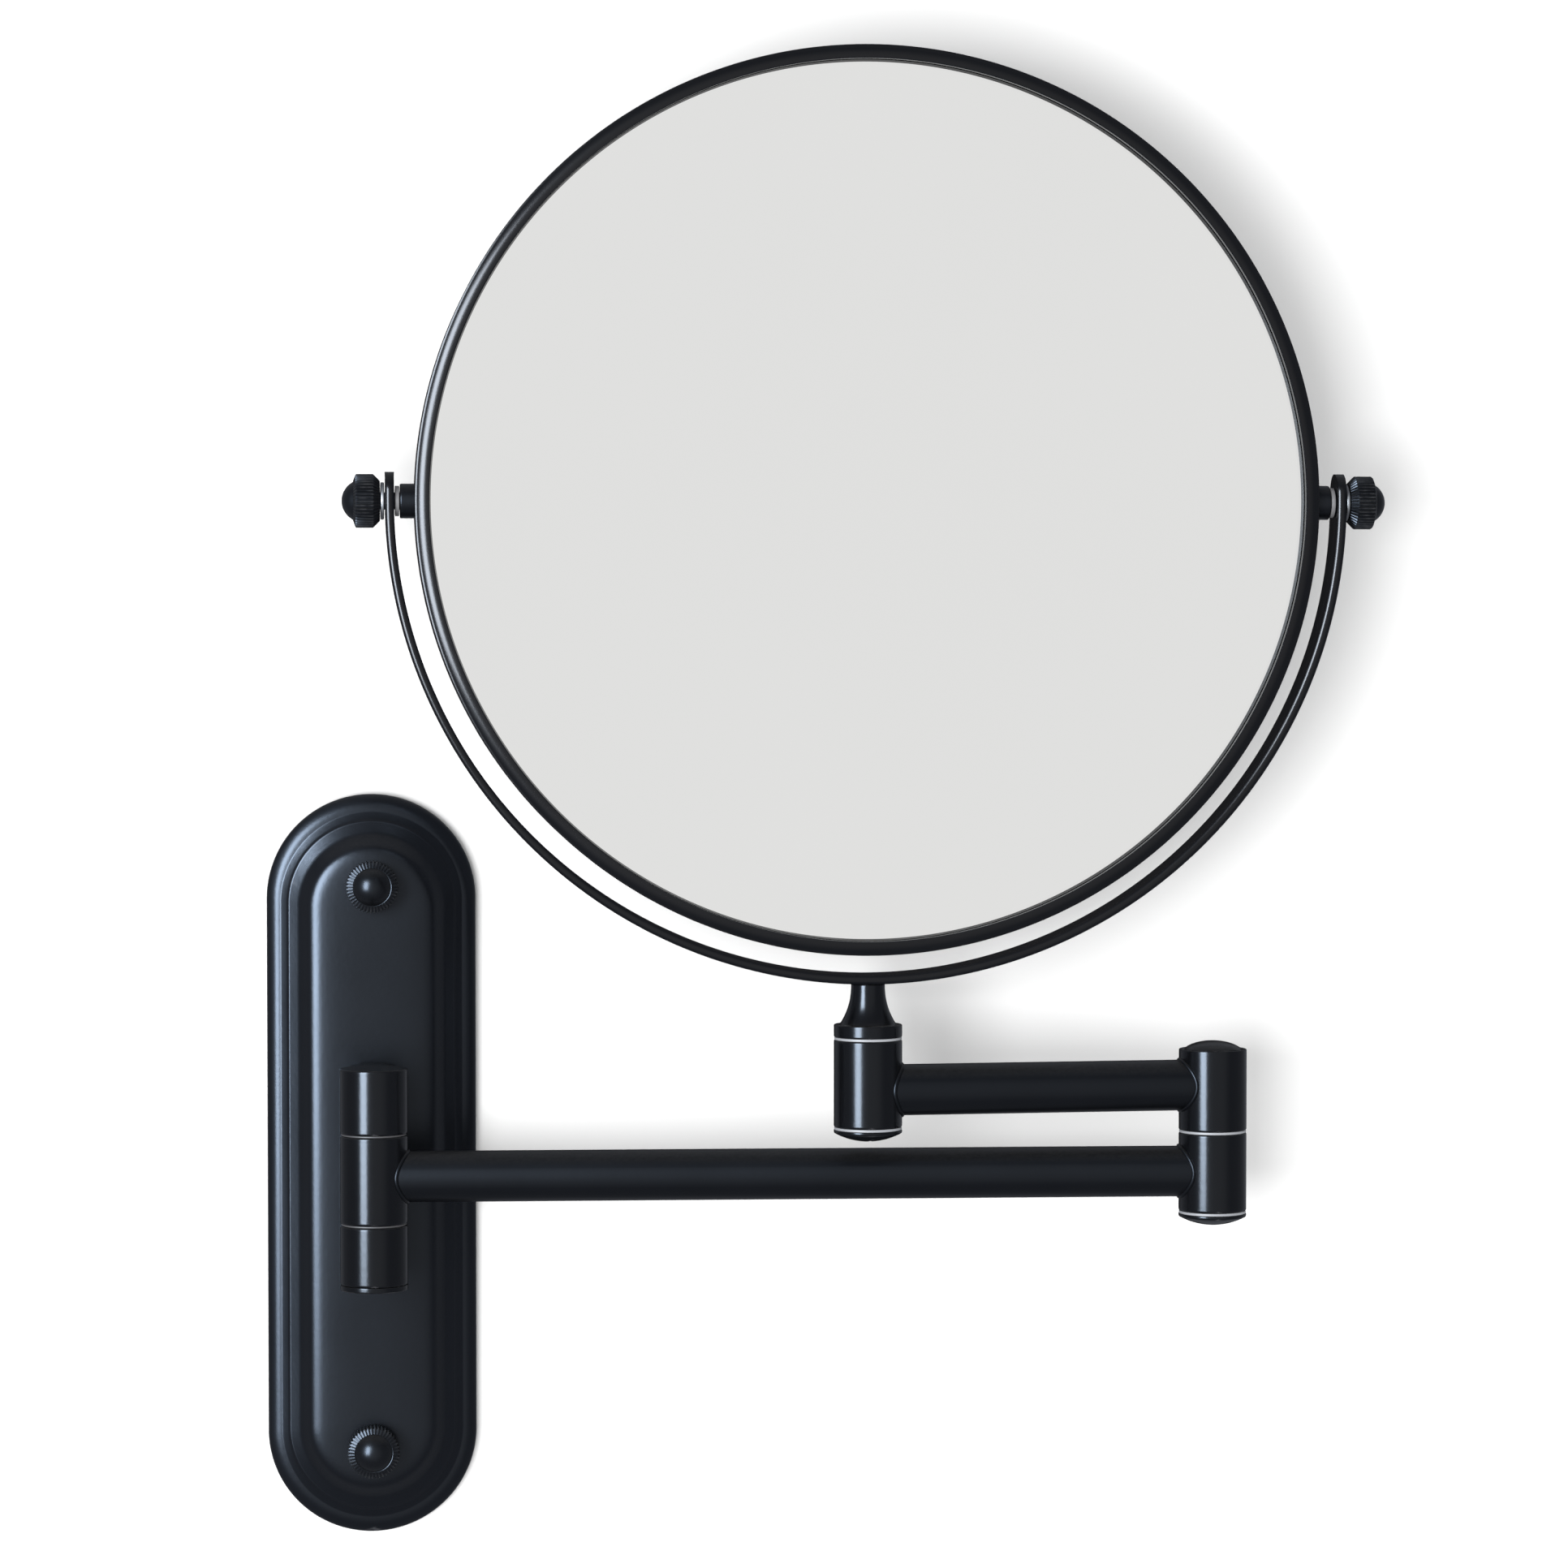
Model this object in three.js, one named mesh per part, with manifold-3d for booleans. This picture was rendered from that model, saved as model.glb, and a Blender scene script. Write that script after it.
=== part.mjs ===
// Extendable wall-mounted shaving mirror: a two-sided round mirror that tilts in a half-round yoke,
// on a swivel stem at the end of two folding tube arms, hinged to an oblong stepped wall plate.
//
// Millimetres, +Z up. The origin is the middle of the back of the mounting bar, in the plane of the
// wall, which is y = 0. The mirror stands in front of the wall, towards -Y, and +X is to the right of
// a person who faces it.

import * as THREE from "three";
import { mergeVertices } from "three/addons/utils/BufferGeometryUtils.js";
import Module from "manifold-3d";

const wasm = await Module();
wasm.setup();

// ---------------------------------------------------------------- driving dimensions

const GAP = 0.3; // between pieces that meet on a curved face or in a turned group
const STACK_GAP = 0.05; // between flat faces stacked along one axis
const EDGE = 0.4; // chamfer on turned edges

// Wall plate: a stamped shell with straight sides and round ends.
const PLATE_WIDTH = 50;
const PLATE_HEIGHT = 178;
const PLATE_SHEET = 1.2;
const PLATE_RIM = 0.2; // the rim stops short of the wall, so that only the mounting bar bears on it
const PLATE_END_STRETCH = 1.2; // the steps are this much longer at the ends than at the sides
const PLATE_TOP = 12; // the middle's distance from the wall
const PLATE_SECTION = [ // inset from the outline and distance from the wall, from the rim inwards
  [0, PLATE_RIM],
  [0, 5.1],
  [0.5, 5.8],
  [1.6, 6.1],
  [3.7, 6.8],
  [4.8, 6.9],
  [5.5, 7.8],
  [7.9, 8],
  [10.1, 10.85],
  [11, 11.4],
  [12.3, 11.7],
  [16, 11.9],
  [22, PLATE_TOP],
];
const NUT_Z = 67.5; // dome nuts, above and below the middle

// Mounting bar, behind the plate and screwed to the wall.
const BAR_WIDTH = 30;
const BAR_HEIGHT = 156;
const BAR_THICK = 2;
const WALL_SCREW_HOLE_R = 2.5;
const WALL_SCREW_HOLE_Z = 42;
const STUD_R = 2.5;
const STUD_TIP = 17; // distance from the wall

// Hinge at the wall.
const HINGE_REACH = 34; // from the wall to the hinge's axis
const BARREL_R = 8; // every barrel, washer and bolt head on the arms
const KNUCKLE_Z = 10.8; // the inner faces of the two knuckles
const KNUCKLE_END_Z = 26; // top of the upper knuckle, and underside of the hinge bolt's head
const HINGE_HEAD_THICK = 1.25;
const NECK_WIDTH = 9;
const FOOT_WIDTH = 12;
const FOOT_THICK = 3.5;
const BRACKET_SCREW_Z = 19;
const BRACKET_SCREW_R = 2;

// Arms.
const TUBE_R = 6;
const TUBE_WALL = 1;
const LONG_ARM = 198; // between the barrels' axes
const SHORT_ARM = 83;
const LONG_TUBE_Z = 0.5;
const SHORT_TUBE_Z = 21;
const LONG_ARM_SWING = THREE.MathUtils.degToRad(2); // forward of parallel with the wall
const SHORT_ARM_SWING = THREE.MathUtils.degToRad(4);
const BOLT_R = 3;
const BUSH_R = 4.2;
const WASHER = 0.6;

// The heights of the barrels' faces.
const HINGE_BARREL = [-10.3, 10.3];
const ELBOW_LOW_BARREL = [-8.8, 9.7];
const ELBOW_HIGH_BARREL = [10.4, 29.5];
const STEM_BARREL = [12.5, 32.9];
const BOLT_HEAD_RIM = 0.8;
const BOLT_HEAD_DOME = 2;
const BOLT_SLOT = [1.2, 2]; // width and depth
const BLIND_BORE = 14; // depth of the elbow barrel's threaded bore
const CAP_SPIGOT_R = 4.7;
const CAP_SPIGOT = 2.6;
const CAP_R = 7;
const CAP_DOME = 1.9;

// Swivel stem and yoke.
const MIRROR_Z = 158.4; // the tilt axis
const YOKE_OUT_R = 112.3;
const YOKE_THICK = 2.2;
const YOKE_WIDTH = 10;
const YOKE_TIP = 6.7; // how far the yoke's ends stand above the tilt axis
const COLLAR = 2.9;
const NECK_FOOT_R = 6.4;
const NECK_TOP_R = 3.95;
const STEM_BORE = 5; // depth of the holes in the stem's two ends
const YOKE_SCREW_R = 1.6;
const YOKE_SCREW_HEAD_R = 3;

// Mirror.
const RING_R = 105.5;
const RING_DEPTH = 14;
const LIP = 3.3; // how far the lips reach inwards
const LIP_THICK = 1.8;
const BAND = 1.2; // the ring's outer wall
const GLASS = 2;
const GLASS_R = RING_R - BAND - GAP;
const FRONT_FACE = RING_DEPTH / 2 - LIP_THICK - GAP; // the glasses' outer faces, from the middle
const MAGNIFIER_SAG = 5; // depth of the magnifying side's hollow
const SPACER_WIDTH = 4;
const BOSS_R = 4;
const BOSS_END = 108.8; // all four measured from the mirror's centre
const INNER_WASHER = [108.95, 109.95];
const OUTER_WASHER = [112.45, 113.25];
const KNOB_START = 113.4;

// Knurled heads, the same on the pivot screws and the wall plate's nuts.
const KNOB_R = 6.2;
const KNOB_CHAMFER = 1.5;
const KNOB_CHAMFER_R = 4.65;
const KNURL_LENGTH = 4.5;
const KNURL_DEPTH = 0.3;
const TEETH = 20;
const DOME_R = 4.55;
const DOME_HEIGHT = 2.8;
const PIVOT_SCREW_R = 2;

// Facets.
const FINE = 48; // the mirror's circles
const ROUND = 24; // barrels
const SMALL = 16; // washers, screws and bushes

// ---------------------------------------------------------------- materials

const blackPaint = new THREE.MeshStandardMaterial({ color: 0x17181b, roughness: 0.32, metalness: 0.1 });
const nylon = new THREE.MeshStandardMaterial({ color: 0xd8dade, roughness: 0.5, metalness: 0 });
const steel = new THREE.MeshStandardMaterial({ color: 0x9b9da0, roughness: 0.35, metalness: 1 });
const silvered = new THREE.MeshStandardMaterial({ color: 0xe4e5e6, roughness: 0.02, metalness: 1 });
const greyPlastic = new THREE.MeshStandardMaterial({ color: 0x6d6f72, roughness: 0.6, metalness: 0 });

// ---------------------------------------------------------------- solids

/** A geometry as a manifold-3d solid. */
function solid(geometry) {
  const bare = geometry.clone();
  bare.deleteAttribute("normal");
  bare.deleteAttribute("uv");
  const merged = mergeVertices(bare, 1e-4);
  return new wasm.Manifold(
    new wasm.Mesh({
      numProp: 3,
      vertProperties: merged.attributes.position.array,
      triVerts: new Uint32Array(merged.index.array),
    }),
  );
}

/** A manifold-3d solid as a geometry. */
function geometryOf(made) {
  const mesh = made.getMesh();
  return new THREE.BufferGeometry()
    .setAttribute("position", new THREE.BufferAttribute(mesh.vertProperties, 3))
    .setIndex(new THREE.BufferAttribute(mesh.triVerts, 1));
}

/** A shape turned about Z. The profile is a list of [radius, z], outer side going up. */
function turned(profile, segments = ROUND) {
  const points = profile.map(([r, z]) => new THREE.Vector2(r, z));
  return new THREE.LatheGeometry(points, segments).rotateX(Math.PI / 2);
}

/** A ring about Z between two radii and two heights, with its outer edges chamfered by `edge`. */
function ringShape(inner, outer, [low, high], edge = 0, segments = ROUND) {
  const profile = [[inner, low]];
  if (edge) {
    profile.push([outer - edge, low], [outer, low + edge]);
    profile.push([outer, high - edge], [outer - edge, high]);
  } else {
    profile.push([outer, low], [outer, high]);
  }
  profile.push([inner, high], [inner, low]);
  return turned(profile, segments);
}

/** A plain rod about Z. */
function rod(radius, [low, high], segments = SMALL) {
  return turned([[0, low], [radius, low], [radius, high], [0, high]], segments);
}

/** Turns a shape made about Z so that its +Z points away from the wall. */
const towardsFront = (geometry) => geometry.rotateX(Math.PI / 2);

/** Turns a shape made about Z so that its +Z points along +X or -X. */
const towardsSide = (geometry, side) => geometry.rotateY((side * Math.PI) / 2);

function piece(name, geometry, material, parent) {
  const mesh = new THREE.Mesh(geometry, material);
  mesh.name = name;
  parent.add(mesh);
  return mesh;
}

/** An arc's points as [radius, z], from one angle to another, for a turned profile. */
function arc(centreR, centreZ, radius, from, to, steps) {
  return Array.from({ length: steps + 1 }, (_, i) => {
    const a = from + ((to - from) * i) / steps;
    return [centreR + radius * Math.cos(a), centreZ + radius * Math.sin(a)];
  });
}

/** A shallow dome's profile, from its edge at `low` up to its top on the axis. */
function domeProfile(radius, height, low, steps = 4) {
  const sphere = (radius ** 2 + height ** 2) / (2 * height);
  const edge = Math.asin((sphere - height) / sphere);
  const points = arc(0, low + height - sphere, sphere, edge, Math.PI / 2, steps);
  points[steps][0] = 0;
  return points;
}

// ---------------------------------------------------------------- knurled heads

/**
 * A knurled head about Z with its chamfered side at z = 0 and a dome on top. `foot` is the profile
 * under the head as [radius, z], from the axis outwards: a blind bore's, or a screw's shank.
 */
function knurledHead(foot) {
  const top = KNOB_CHAMFER + KNURL_LENGTH;
  const count = TEETH * 2;
  const rings = [
    ...foot.map(([r, z]) => ({ r, z })),
    { r: KNOB_CHAMFER_R, z: 0 },
    { r: KNOB_R, z: KNOB_CHAMFER, knurled: true },
    { r: KNOB_R, z: top, knurled: true },
    ...domeProfile(DOME_R, DOME_HEIGHT, top, 3).map(([r, z]) => ({ r, z })),
  ];
  const vertices = [];
  const faces = [];
  const ringStart = rings.map(({ r, z, knurled }) => {
    const start = vertices.length / 3;
    for (let i = 0; i < (r === 0 ? 1 : count); i++) {
      const a = (2 * Math.PI * i) / count;
      const here = knurled && i % 2 ? r - KNURL_DEPTH : r;
      vertices.push(here * Math.cos(a), here * Math.sin(a), z);
    }
    return start;
  });
  for (let k = 0; k + 1 < rings.length; k++) {
    for (let i = 0; i < count; i++) {
      const j = (i + 1) % count;
      const [low, high] = [ringStart[k], ringStart[k + 1]];
      if (rings[k].r === 0) faces.push(low, high + j, high + i);
      else if (rings[k + 1].r === 0) faces.push(low + i, low + j, high);
      else faces.push(low + i, low + j, high + j, low + i, high + j, high + i);
    }
  }
  return new THREE.BufferGeometry()
    .setAttribute("position", new THREE.Float32BufferAttribute(vertices, 3))
    .setIndex(faces);
}

// ---------------------------------------------------------------- wall plate

/** Points of an oblong with round ends, as [x, z]. */
function oblong(halfWidth, halfHeight, endSteps = 12) {
  const centre = halfHeight - halfWidth;
  return [1, -1].flatMap((end) =>
    Array.from({ length: endSteps + 1 }, (_, i) => {
      const a = (Math.PI * i) / endSteps + (end < 0 ? Math.PI : 0);
      return [halfWidth * Math.cos(a), end * centre + halfWidth * Math.sin(a)];
    }),
  );
}

/** The stepped shell: the section carried round the outline outside, and again inside by the sheet. */
function plateShell() {
  const inside = PLATE_SECTION.map(([inset, out]) => [
    inset + PLATE_SHEET,
    Math.max(PLATE_RIM, out - PLATE_SHEET),
  ]);
  const section = [...[...PLATE_SECTION].reverse(), ...inside];
  const vertices = [];
  for (const [inset, out] of section) {
    const outline = oblong(PLATE_WIDTH / 2 - inset, PLATE_HEIGHT / 2 - inset * PLATE_END_STRETCH);
    for (const [x, z] of outline) vertices.push(x, -out, z);
  }
  const count = vertices.length / 3 / section.length;
  const [front, back] = [vertices.length / 3, vertices.length / 3 + 1];
  vertices.push(0, -PLATE_TOP, 0, 0, -(PLATE_TOP - PLATE_SHEET), 0);
  const faces = [];
  for (let i = 0; i < count; i++) {
    const j = (i + 1) % count;
    faces.push(front, i, j);
    for (let k = 0; k + 1 < section.length; k++) {
      const [a, b] = [k * count, (k + 1) * count];
      faces.push(a + i, b + i, b + j, a + i, b + j, a + j);
    }
    const last = (section.length - 1) * count;
    faces.push(back, last + j, last + i);
  }
  const geometry = new THREE.BufferGeometry();
  geometry.setAttribute("position", new THREE.Float32BufferAttribute(vertices, 3));
  geometry.setIndex(faces);
  return geometry;
}

function wallPlate() {
  let plate = solid(plateShell());
  const throughPlate = [PLATE_TOP - 2 * PLATE_SHEET, PLATE_TOP + PLATE_SHEET];
  for (const end of [1, -1]) {
    for (const [radius, z] of [[STUD_R + GAP, NUT_Z], [BRACKET_SCREW_R + GAP, BRACKET_SCREW_Z]]) {
      const hole = towardsFront(rod(radius, throughPlate)).translate(0, 0, end * z);
      plate = plate.subtract(solid(hole));
    }
  }
  return geometryOf(plate);
}

function mountingBar() {
  const outline = oblong(BAR_WIDTH / 2, BAR_HEIGHT / 2).map(([x, z]) => new THREE.Vector2(x, z));
  const bar = new THREE.Shape(outline);
  for (const end of [1, -1]) {
    const hole = new THREE.Path();
    hole.absarc(0, end * WALL_SCREW_HOLE_Z, WALL_SCREW_HOLE_R, 0, 2 * Math.PI, true);
    bar.holes.push(hole);
  }
  const settings = { depth: BAR_THICK, bevelEnabled: false, curveSegments: SMALL / 2 };
  return towardsFront(new THREE.ExtrudeGeometry(bar, settings));
}

// ---------------------------------------------------------------- hinge bracket and bolts

/** The cast bracket: two knuckles on necks that stand on one foot. */
function hingeBracket() {
  const front = PLATE_TOP + 2 * STACK_GAP;
  const block = (width, from, to, low, high) => {
    const box = new THREE.BoxGeometry(width, to - from, high - low);
    return solid(box.translate(0, -(from + to) / 2, (low + high) / 2));
  };
  const lowKnuckle = [HINGE_HEAD_THICK + STACK_GAP - KNUCKLE_END_Z, -KNUCKLE_Z];
  const highKnuckle = [KNUCKLE_Z, KNUCKLE_END_Z];
  let bracket = block(FOOT_WIDTH, front, front + FOOT_THICK, lowKnuckle[0], KNUCKLE_END_Z - EDGE);
  for (const [low, high] of [lowKnuckle, highKnuckle]) {
    bracket = bracket
      .add(block(NECK_WIDTH, front, HINGE_REACH, low + EDGE, high - EDGE))
      .add(solid(knuckle([low, high])).translate([0, -HINGE_REACH, 0]));
  }
  const bore = rod(BOLT_R + GAP, [-KNUCKLE_END_Z - 1, KNUCKLE_END_Z - 3]);
  bracket = bracket.subtract(solid(bore.translate(0, -HINGE_REACH, 0)));
  for (const end of [1, -1]) {
    const hole = towardsFront(rod(BRACKET_SCREW_R + GAP, [0, front + 9]));
    bracket = bracket.subtract(solid(hole.translate(0, 0, end * BRACKET_SCREW_Z)));
  }
  return geometryOf(bracket);
}

/** A solid barrel with chamfered edges. */
function knuckle([low, high]) {
  const r = BARREL_R;
  return turned([
    [0, low],
    [r - EDGE, low],
    [r, low + EDGE],
    [r, high - EDGE],
    [r - EDGE, high],
    [0, high],
  ]);
}

/** A bolt that hangs head down, its shank from `head` up to `tip`. A slot crosses the head. */
function slottedBolt(head, tip, headRadius, rim, dome) {
  const profile = dome
    ? domeProfile(headRadius, dome, -head + rim).map(([r, z]) => [r, -z]).reverse()
    : [[0, head - rim], [headRadius, head - rim]];
  profile.push([headRadius, head], [BOLT_R, head], [BOLT_R, tip - EDGE], [BOLT_R - EDGE, tip], [0, tip]);
  const [slotWidth, slotDepth] = BOLT_SLOT;
  const slot = new THREE.BoxGeometry(2 * headRadius + 2, slotWidth, slotDepth);
  return geometryOf(solid(turned(profile)).subtract(solid(slot.translate(0, 0, head - rim - dome))));
}

/** A pan-headed screw about Z: head below z = 0, shank above. */
function panScrew(radius, length) {
  const headRadius = radius * 1.85;
  return turned([
    [0, -radius * 1.2],
    [headRadius * 0.8, -radius * 1.2],
    [headRadius, -radius * 0.7],
    [headRadius, 0],
    [radius, 0],
    [radius, length],
    [0, length],
  ], SMALL);
}

// ---------------------------------------------------------------- arms

/** A tube along +X between two barrels, its ends shaped to fit round them. */
function armTube(length, z) {
  const along = [0, length];
  let tube = solid(towardsSide(rod(TUBE_R, along, ROUND), 1)).subtract(
    solid(towardsSide(rod(TUBE_R - TUBE_WALL, [-1, length + 1], SMALL), 1)),
  );
  for (const x of along) {
    tube = tube.subtract(solid(rod(BARREL_R + GAP, [-TUBE_R * 2, TUBE_R * 2], ROUND)).translate([x, 0, 0]));
  }
  return geometryOf(tube.translate([0, 0, z]));
}

const barrel = (heights, bore) => ringShape(bore, BARREL_R, heights, EDGE);

const bush = ([low, high]) => ringShape(BOLT_R + GAP, BUSH_R, [low + STACK_GAP, high - STACK_GAP], 0, SMALL);

const washer = (low, thick = WASHER) => ringShape(BOLT_R + GAP, BARREL_R, [low, low + thick], 0, ROUND);

/** The short arm's elbow barrel: a threaded blind bore below, and a seat for the cap above. */
function elbowBarrel() {
  const [low, high] = ELBOW_HIGH_BARREL;
  const r = BARREL_R;
  const bore = BOLT_R + GAP;
  const seat = CAP_SPIGOT_R + GAP;
  return turned([
    [0, low + BLIND_BORE],
    [bore, low + BLIND_BORE],
    [bore, low],
    [r - EDGE, low],
    [r, low + EDGE],
    [r, high - EDGE],
    [r - EDGE, high],
    [seat, high],
    [seat, high - CAP_SPIGOT - GAP],
    [0, high - CAP_SPIGOT - GAP],
  ]);
}

/** The domed plug that closes the top of the elbow. */
function elbowCap() {
  const seat = ELBOW_HIGH_BARREL[1] + STACK_GAP;
  return turned([
    [0, seat - CAP_SPIGOT],
    [CAP_SPIGOT_R, seat - CAP_SPIGOT],
    [CAP_SPIGOT_R, seat],
    ...domeProfile(CAP_R, CAP_DOME, seat),
  ]);
}

// ---------------------------------------------------------------- stem and yoke

/** The swivel stem: a collar that turns on the arm's barrel, and a neck that flares out of it. */
function swivelStem() {
  const low = STEM_BARREL[1] + 2 * STACK_GAP + WASHER;
  const top = MIRROR_Z - YOKE_OUT_R - GAP;
  const neckFoot = low + COLLAR;
  const bore = BOLT_R + GAP;
  const steps = 4;
  const neck = Array.from({ length: steps + 1 }, (_, i) => {
    const t = i / steps;
    return [NECK_TOP_R + (NECK_FOOT_R - NECK_TOP_R) * (1 - t) ** 2.4, neckFoot + (top - neckFoot) * t];
  });
  const screwHole = YOKE_SCREW_R + GAP;
  return turned([
    [0, low + STEM_BORE],
    [bore, low + STEM_BORE],
    [bore, low],
    [BARREL_R - EDGE, low],
    [BARREL_R, low + EDGE],
    [BARREL_R, neckFoot - EDGE],
    [BARREL_R - EDGE, neckFoot],
    ...neck,
    [screwHole, top],
    [screwHole, top - STEM_BORE],
    [0, top - STEM_BORE],
  ]);
}

/** The yoke: a flat strip bent to a half circle, with straight round-ended tips that carry the pivots. */
function yokeStrip() {
  const inner = YOKE_OUT_R - YOKE_THICK;
  const outline = new THREE.Shape();
  outline.moveTo(-YOKE_OUT_R, YOKE_TIP);
  outline.absarc(0, 0, YOKE_OUT_R, Math.PI, 2 * Math.PI, false);
  outline.lineTo(YOKE_OUT_R, YOKE_TIP);
  outline.lineTo(inner, YOKE_TIP);
  outline.absarc(0, 0, inner, 0, -Math.PI, true);
  outline.lineTo(-inner, YOKE_TIP);
  const settings = { depth: YOKE_WIDTH, bevelEnabled: false, curveSegments: 32 };
  const strip = towardsFront(new THREE.ExtrudeGeometry(outline, settings)).translate(0, YOKE_WIDTH / 2, 0);
  const half = YOKE_WIDTH / 2;
  const span = [-YOKE_OUT_R - 1, YOKE_OUT_R + 1];
  const belowTips = new THREE.BoxGeometry(300, YOKE_WIDTH + 1, 150).translate(0, 0, YOKE_TIP - half - 75);
  const tips = towardsSide(rod(half, span, SMALL), 1).translate(0, 0, YOKE_TIP - half);
  const pivotHoles = towardsSide(rod(PIVOT_SCREW_R + GAP, span, SMALL), 1);
  const [holeTop, holeLow] = [-inner + 0.5, -YOKE_OUT_R - 0.5];
  const headHole = turned([
    [0, holeLow],
    [YOKE_SCREW_R + GAP, holeLow],
    [YOKE_SCREW_R + GAP, holeLow + 0.9],
    [YOKE_SCREW_HEAD_R + GAP, holeTop - 0.5],
    [YOKE_SCREW_HEAD_R + GAP, holeTop],
    [0, holeTop],
  ], SMALL);
  return geometryOf(
    solid(strip)
      .intersect(solid(belowTips).add(solid(tips)))
      .subtract(solid(pivotHoles))
      .subtract(solid(headHole)),
  );
}

/** The countersunk screw that holds the yoke to the stem, its head level with the strip's inner face. */
function yokeScrew() {
  const head = -(YOKE_OUT_R - YOKE_THICK) - 0.1;
  const shank = head - 1.2;
  return turned([
    [0, shank - 4.5],
    [YOKE_SCREW_R, shank - 4.5],
    [YOKE_SCREW_R, shank],
    [YOKE_SCREW_HEAD_R, head],
    [0, head],
  ], SMALL);
}

// ---------------------------------------------------------------- mirror

/** The rolled ring, a channel with round-nosed lips in front and behind that hold the two glasses. */
function mirrorRing() {
  const half = RING_DEPTH / 2;
  const inner = RING_R - LIP;
  const wall = RING_R - BAND;
  const nose = LIP / 2;
  return turned([
    [wall, half - LIP_THICK],
    [wall, LIP_THICK - half],
    [inner, LIP_THICK - half],
    ...arc(RING_R - nose, nose - half, nose, Math.PI, 2 * Math.PI, 4),
    ...arc(RING_R - nose, half - nose, nose, 0, Math.PI, 4),
    [inner, half - LIP_THICK],
    [wall, half - LIP_THICK],
  ], FINE);
}

const plainGlass = () => rod(GLASS_R, [FRONT_FACE - GLASS, FRONT_FACE], FINE);

/** The magnifying glass's hollow face, at a distance from its middle. */
const hollowFace = (r) => {
  const sphere = (GLASS_R ** 2 + MAGNIFIER_SAG ** 2) / (2 * MAGNIFIER_SAG);
  return MAGNIFIER_SAG - FRONT_FACE - (sphere - Math.sqrt(sphere ** 2 - r ** 2));
};

/** The magnifying glass: a shallow bowl of even thickness, hollow towards the back. */
function magnifyingGlass() {
  const steps = 4;
  const radii = Array.from({ length: steps + 1 }, (_, i) => (GLASS_R * i) / steps);
  const hollow = radii.map((r) => [r, hollowFace(r)]);
  const silveredSide = radii.map((r) => [r, hollowFace(r) + GLASS]).reverse();
  return turned([...hollow, ...silveredSide], FINE);
}

/** The spring ring that keeps the two glasses apart at their edges. */
function spacerRing() {
  const inner = GLASS_R - SPACER_WIDTH;
  return ringShape(inner, GLASS_R, [hollowFace(inner) + GLASS + GAP, FRONT_FACE - GLASS - GAP], 0, FINE);
}

// ---------------------------------------------------------------- assembly

const part = new THREE.Group();

// Wall mount.
piece("mounting_bar", mountingBar(), steel, part);
piece("wall_plate", wallPlate(), blackPaint, part);
piece("hinge_bracket", hingeBracket(), blackPaint, part);
for (const [where, end] of [["upper", 1], ["lower", -1]]) {
  const studLength = [BAR_THICK + STACK_GAP, STUD_TIP];
  const stud = piece(`${where}_stud`, towardsFront(rod(STUD_R, studLength)), steel, part);
  stud.position.z = end * NUT_Z;
  const bore = STUD_R + GAP;
  const boreDepth = STUD_TIP + GAP - PLATE_TOP - STACK_GAP;
  const nutShape = knurledHead([[0, boreDepth], [bore, boreDepth], [bore, 0]]);
  const nut = piece(`${where}_dome_nut`, towardsFront(nutShape), blackPaint, part);
  nut.position.set(0, -PLATE_TOP - STACK_GAP, end * NUT_Z);
  const screwHead = -(PLATE_TOP - PLATE_SHEET - STACK_GAP);
  const screw = piece(`${where}_bracket_screw`, towardsFront(panScrew(BRACKET_SCREW_R, 9)), steel, part);
  screw.position.set(0, screwHead, end * BRACKET_SCREW_Z);
  const washerLow = end > 0 ? HINGE_BARREL[1] + STACK_GAP : -KNUCKLE_Z + STACK_GAP;
  const hingeWasher = piece(`${where}_hinge_washer`, washer(washerLow, 0.4), greyPlastic, part);
  hingeWasher.position.y = -HINGE_REACH;
}
const hingeHead = HINGE_HEAD_THICK - KNUCKLE_END_Z;
const hingeBolt = slottedBolt(hingeHead, KNUCKLE_END_Z - 4, BARREL_R, HINGE_HEAD_THICK, 0);
piece("hinge_bolt", hingeBolt, blackPaint, part).position.y = -HINGE_REACH;

// Long arm, from the wall hinge to the elbow.
const longArm = new THREE.Group();
longArm.position.y = -HINGE_REACH;
longArm.rotation.z = -LONG_ARM_SWING;
part.add(longArm);
const bushBore = BUSH_R + GAP;
piece("long_arm_hinge_barrel", barrel(HINGE_BARREL, bushBore), blackPaint, longArm);
piece("hinge_bush", bush(HINGE_BARREL), nylon, longArm);
piece("long_arm_tube", armTube(LONG_ARM, LONG_TUBE_Z), blackPaint, longArm);
piece("long_arm_elbow_barrel", barrel(ELBOW_LOW_BARREL, bushBore), blackPaint, longArm).position.x = LONG_ARM;
piece("elbow_bush", bush(ELBOW_LOW_BARREL), nylon, longArm).position.x = LONG_ARM;

// Short arm, from the elbow to the stem, folded back over the long arm.
const shortArm = new THREE.Group();
shortArm.position.x = LONG_ARM;
shortArm.rotation.z = Math.PI + SHORT_ARM_SWING + LONG_ARM_SWING;
longArm.add(shortArm);
const elbowHead = ELBOW_LOW_BARREL[0] - WASHER - 2 * STACK_GAP;
piece("short_arm_elbow_barrel", elbowBarrel(), blackPaint, shortArm);
piece("elbow_cap", elbowCap(), blackPaint, shortArm);
piece("elbow_upper_washer", washer(ELBOW_LOW_BARREL[1] + STACK_GAP), nylon, shortArm);
piece("elbow_lower_washer", washer(elbowHead + STACK_GAP), nylon, shortArm);
const elbowBolt = slottedBolt(elbowHead, ELBOW_HIGH_BARREL[0] + 13, BARREL_R, BOLT_HEAD_RIM, BOLT_HEAD_DOME);
piece("elbow_bolt", elbowBolt, blackPaint, shortArm);
piece("short_arm_tube", armTube(SHORT_ARM, SHORT_TUBE_Z), blackPaint, shortArm);
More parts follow.
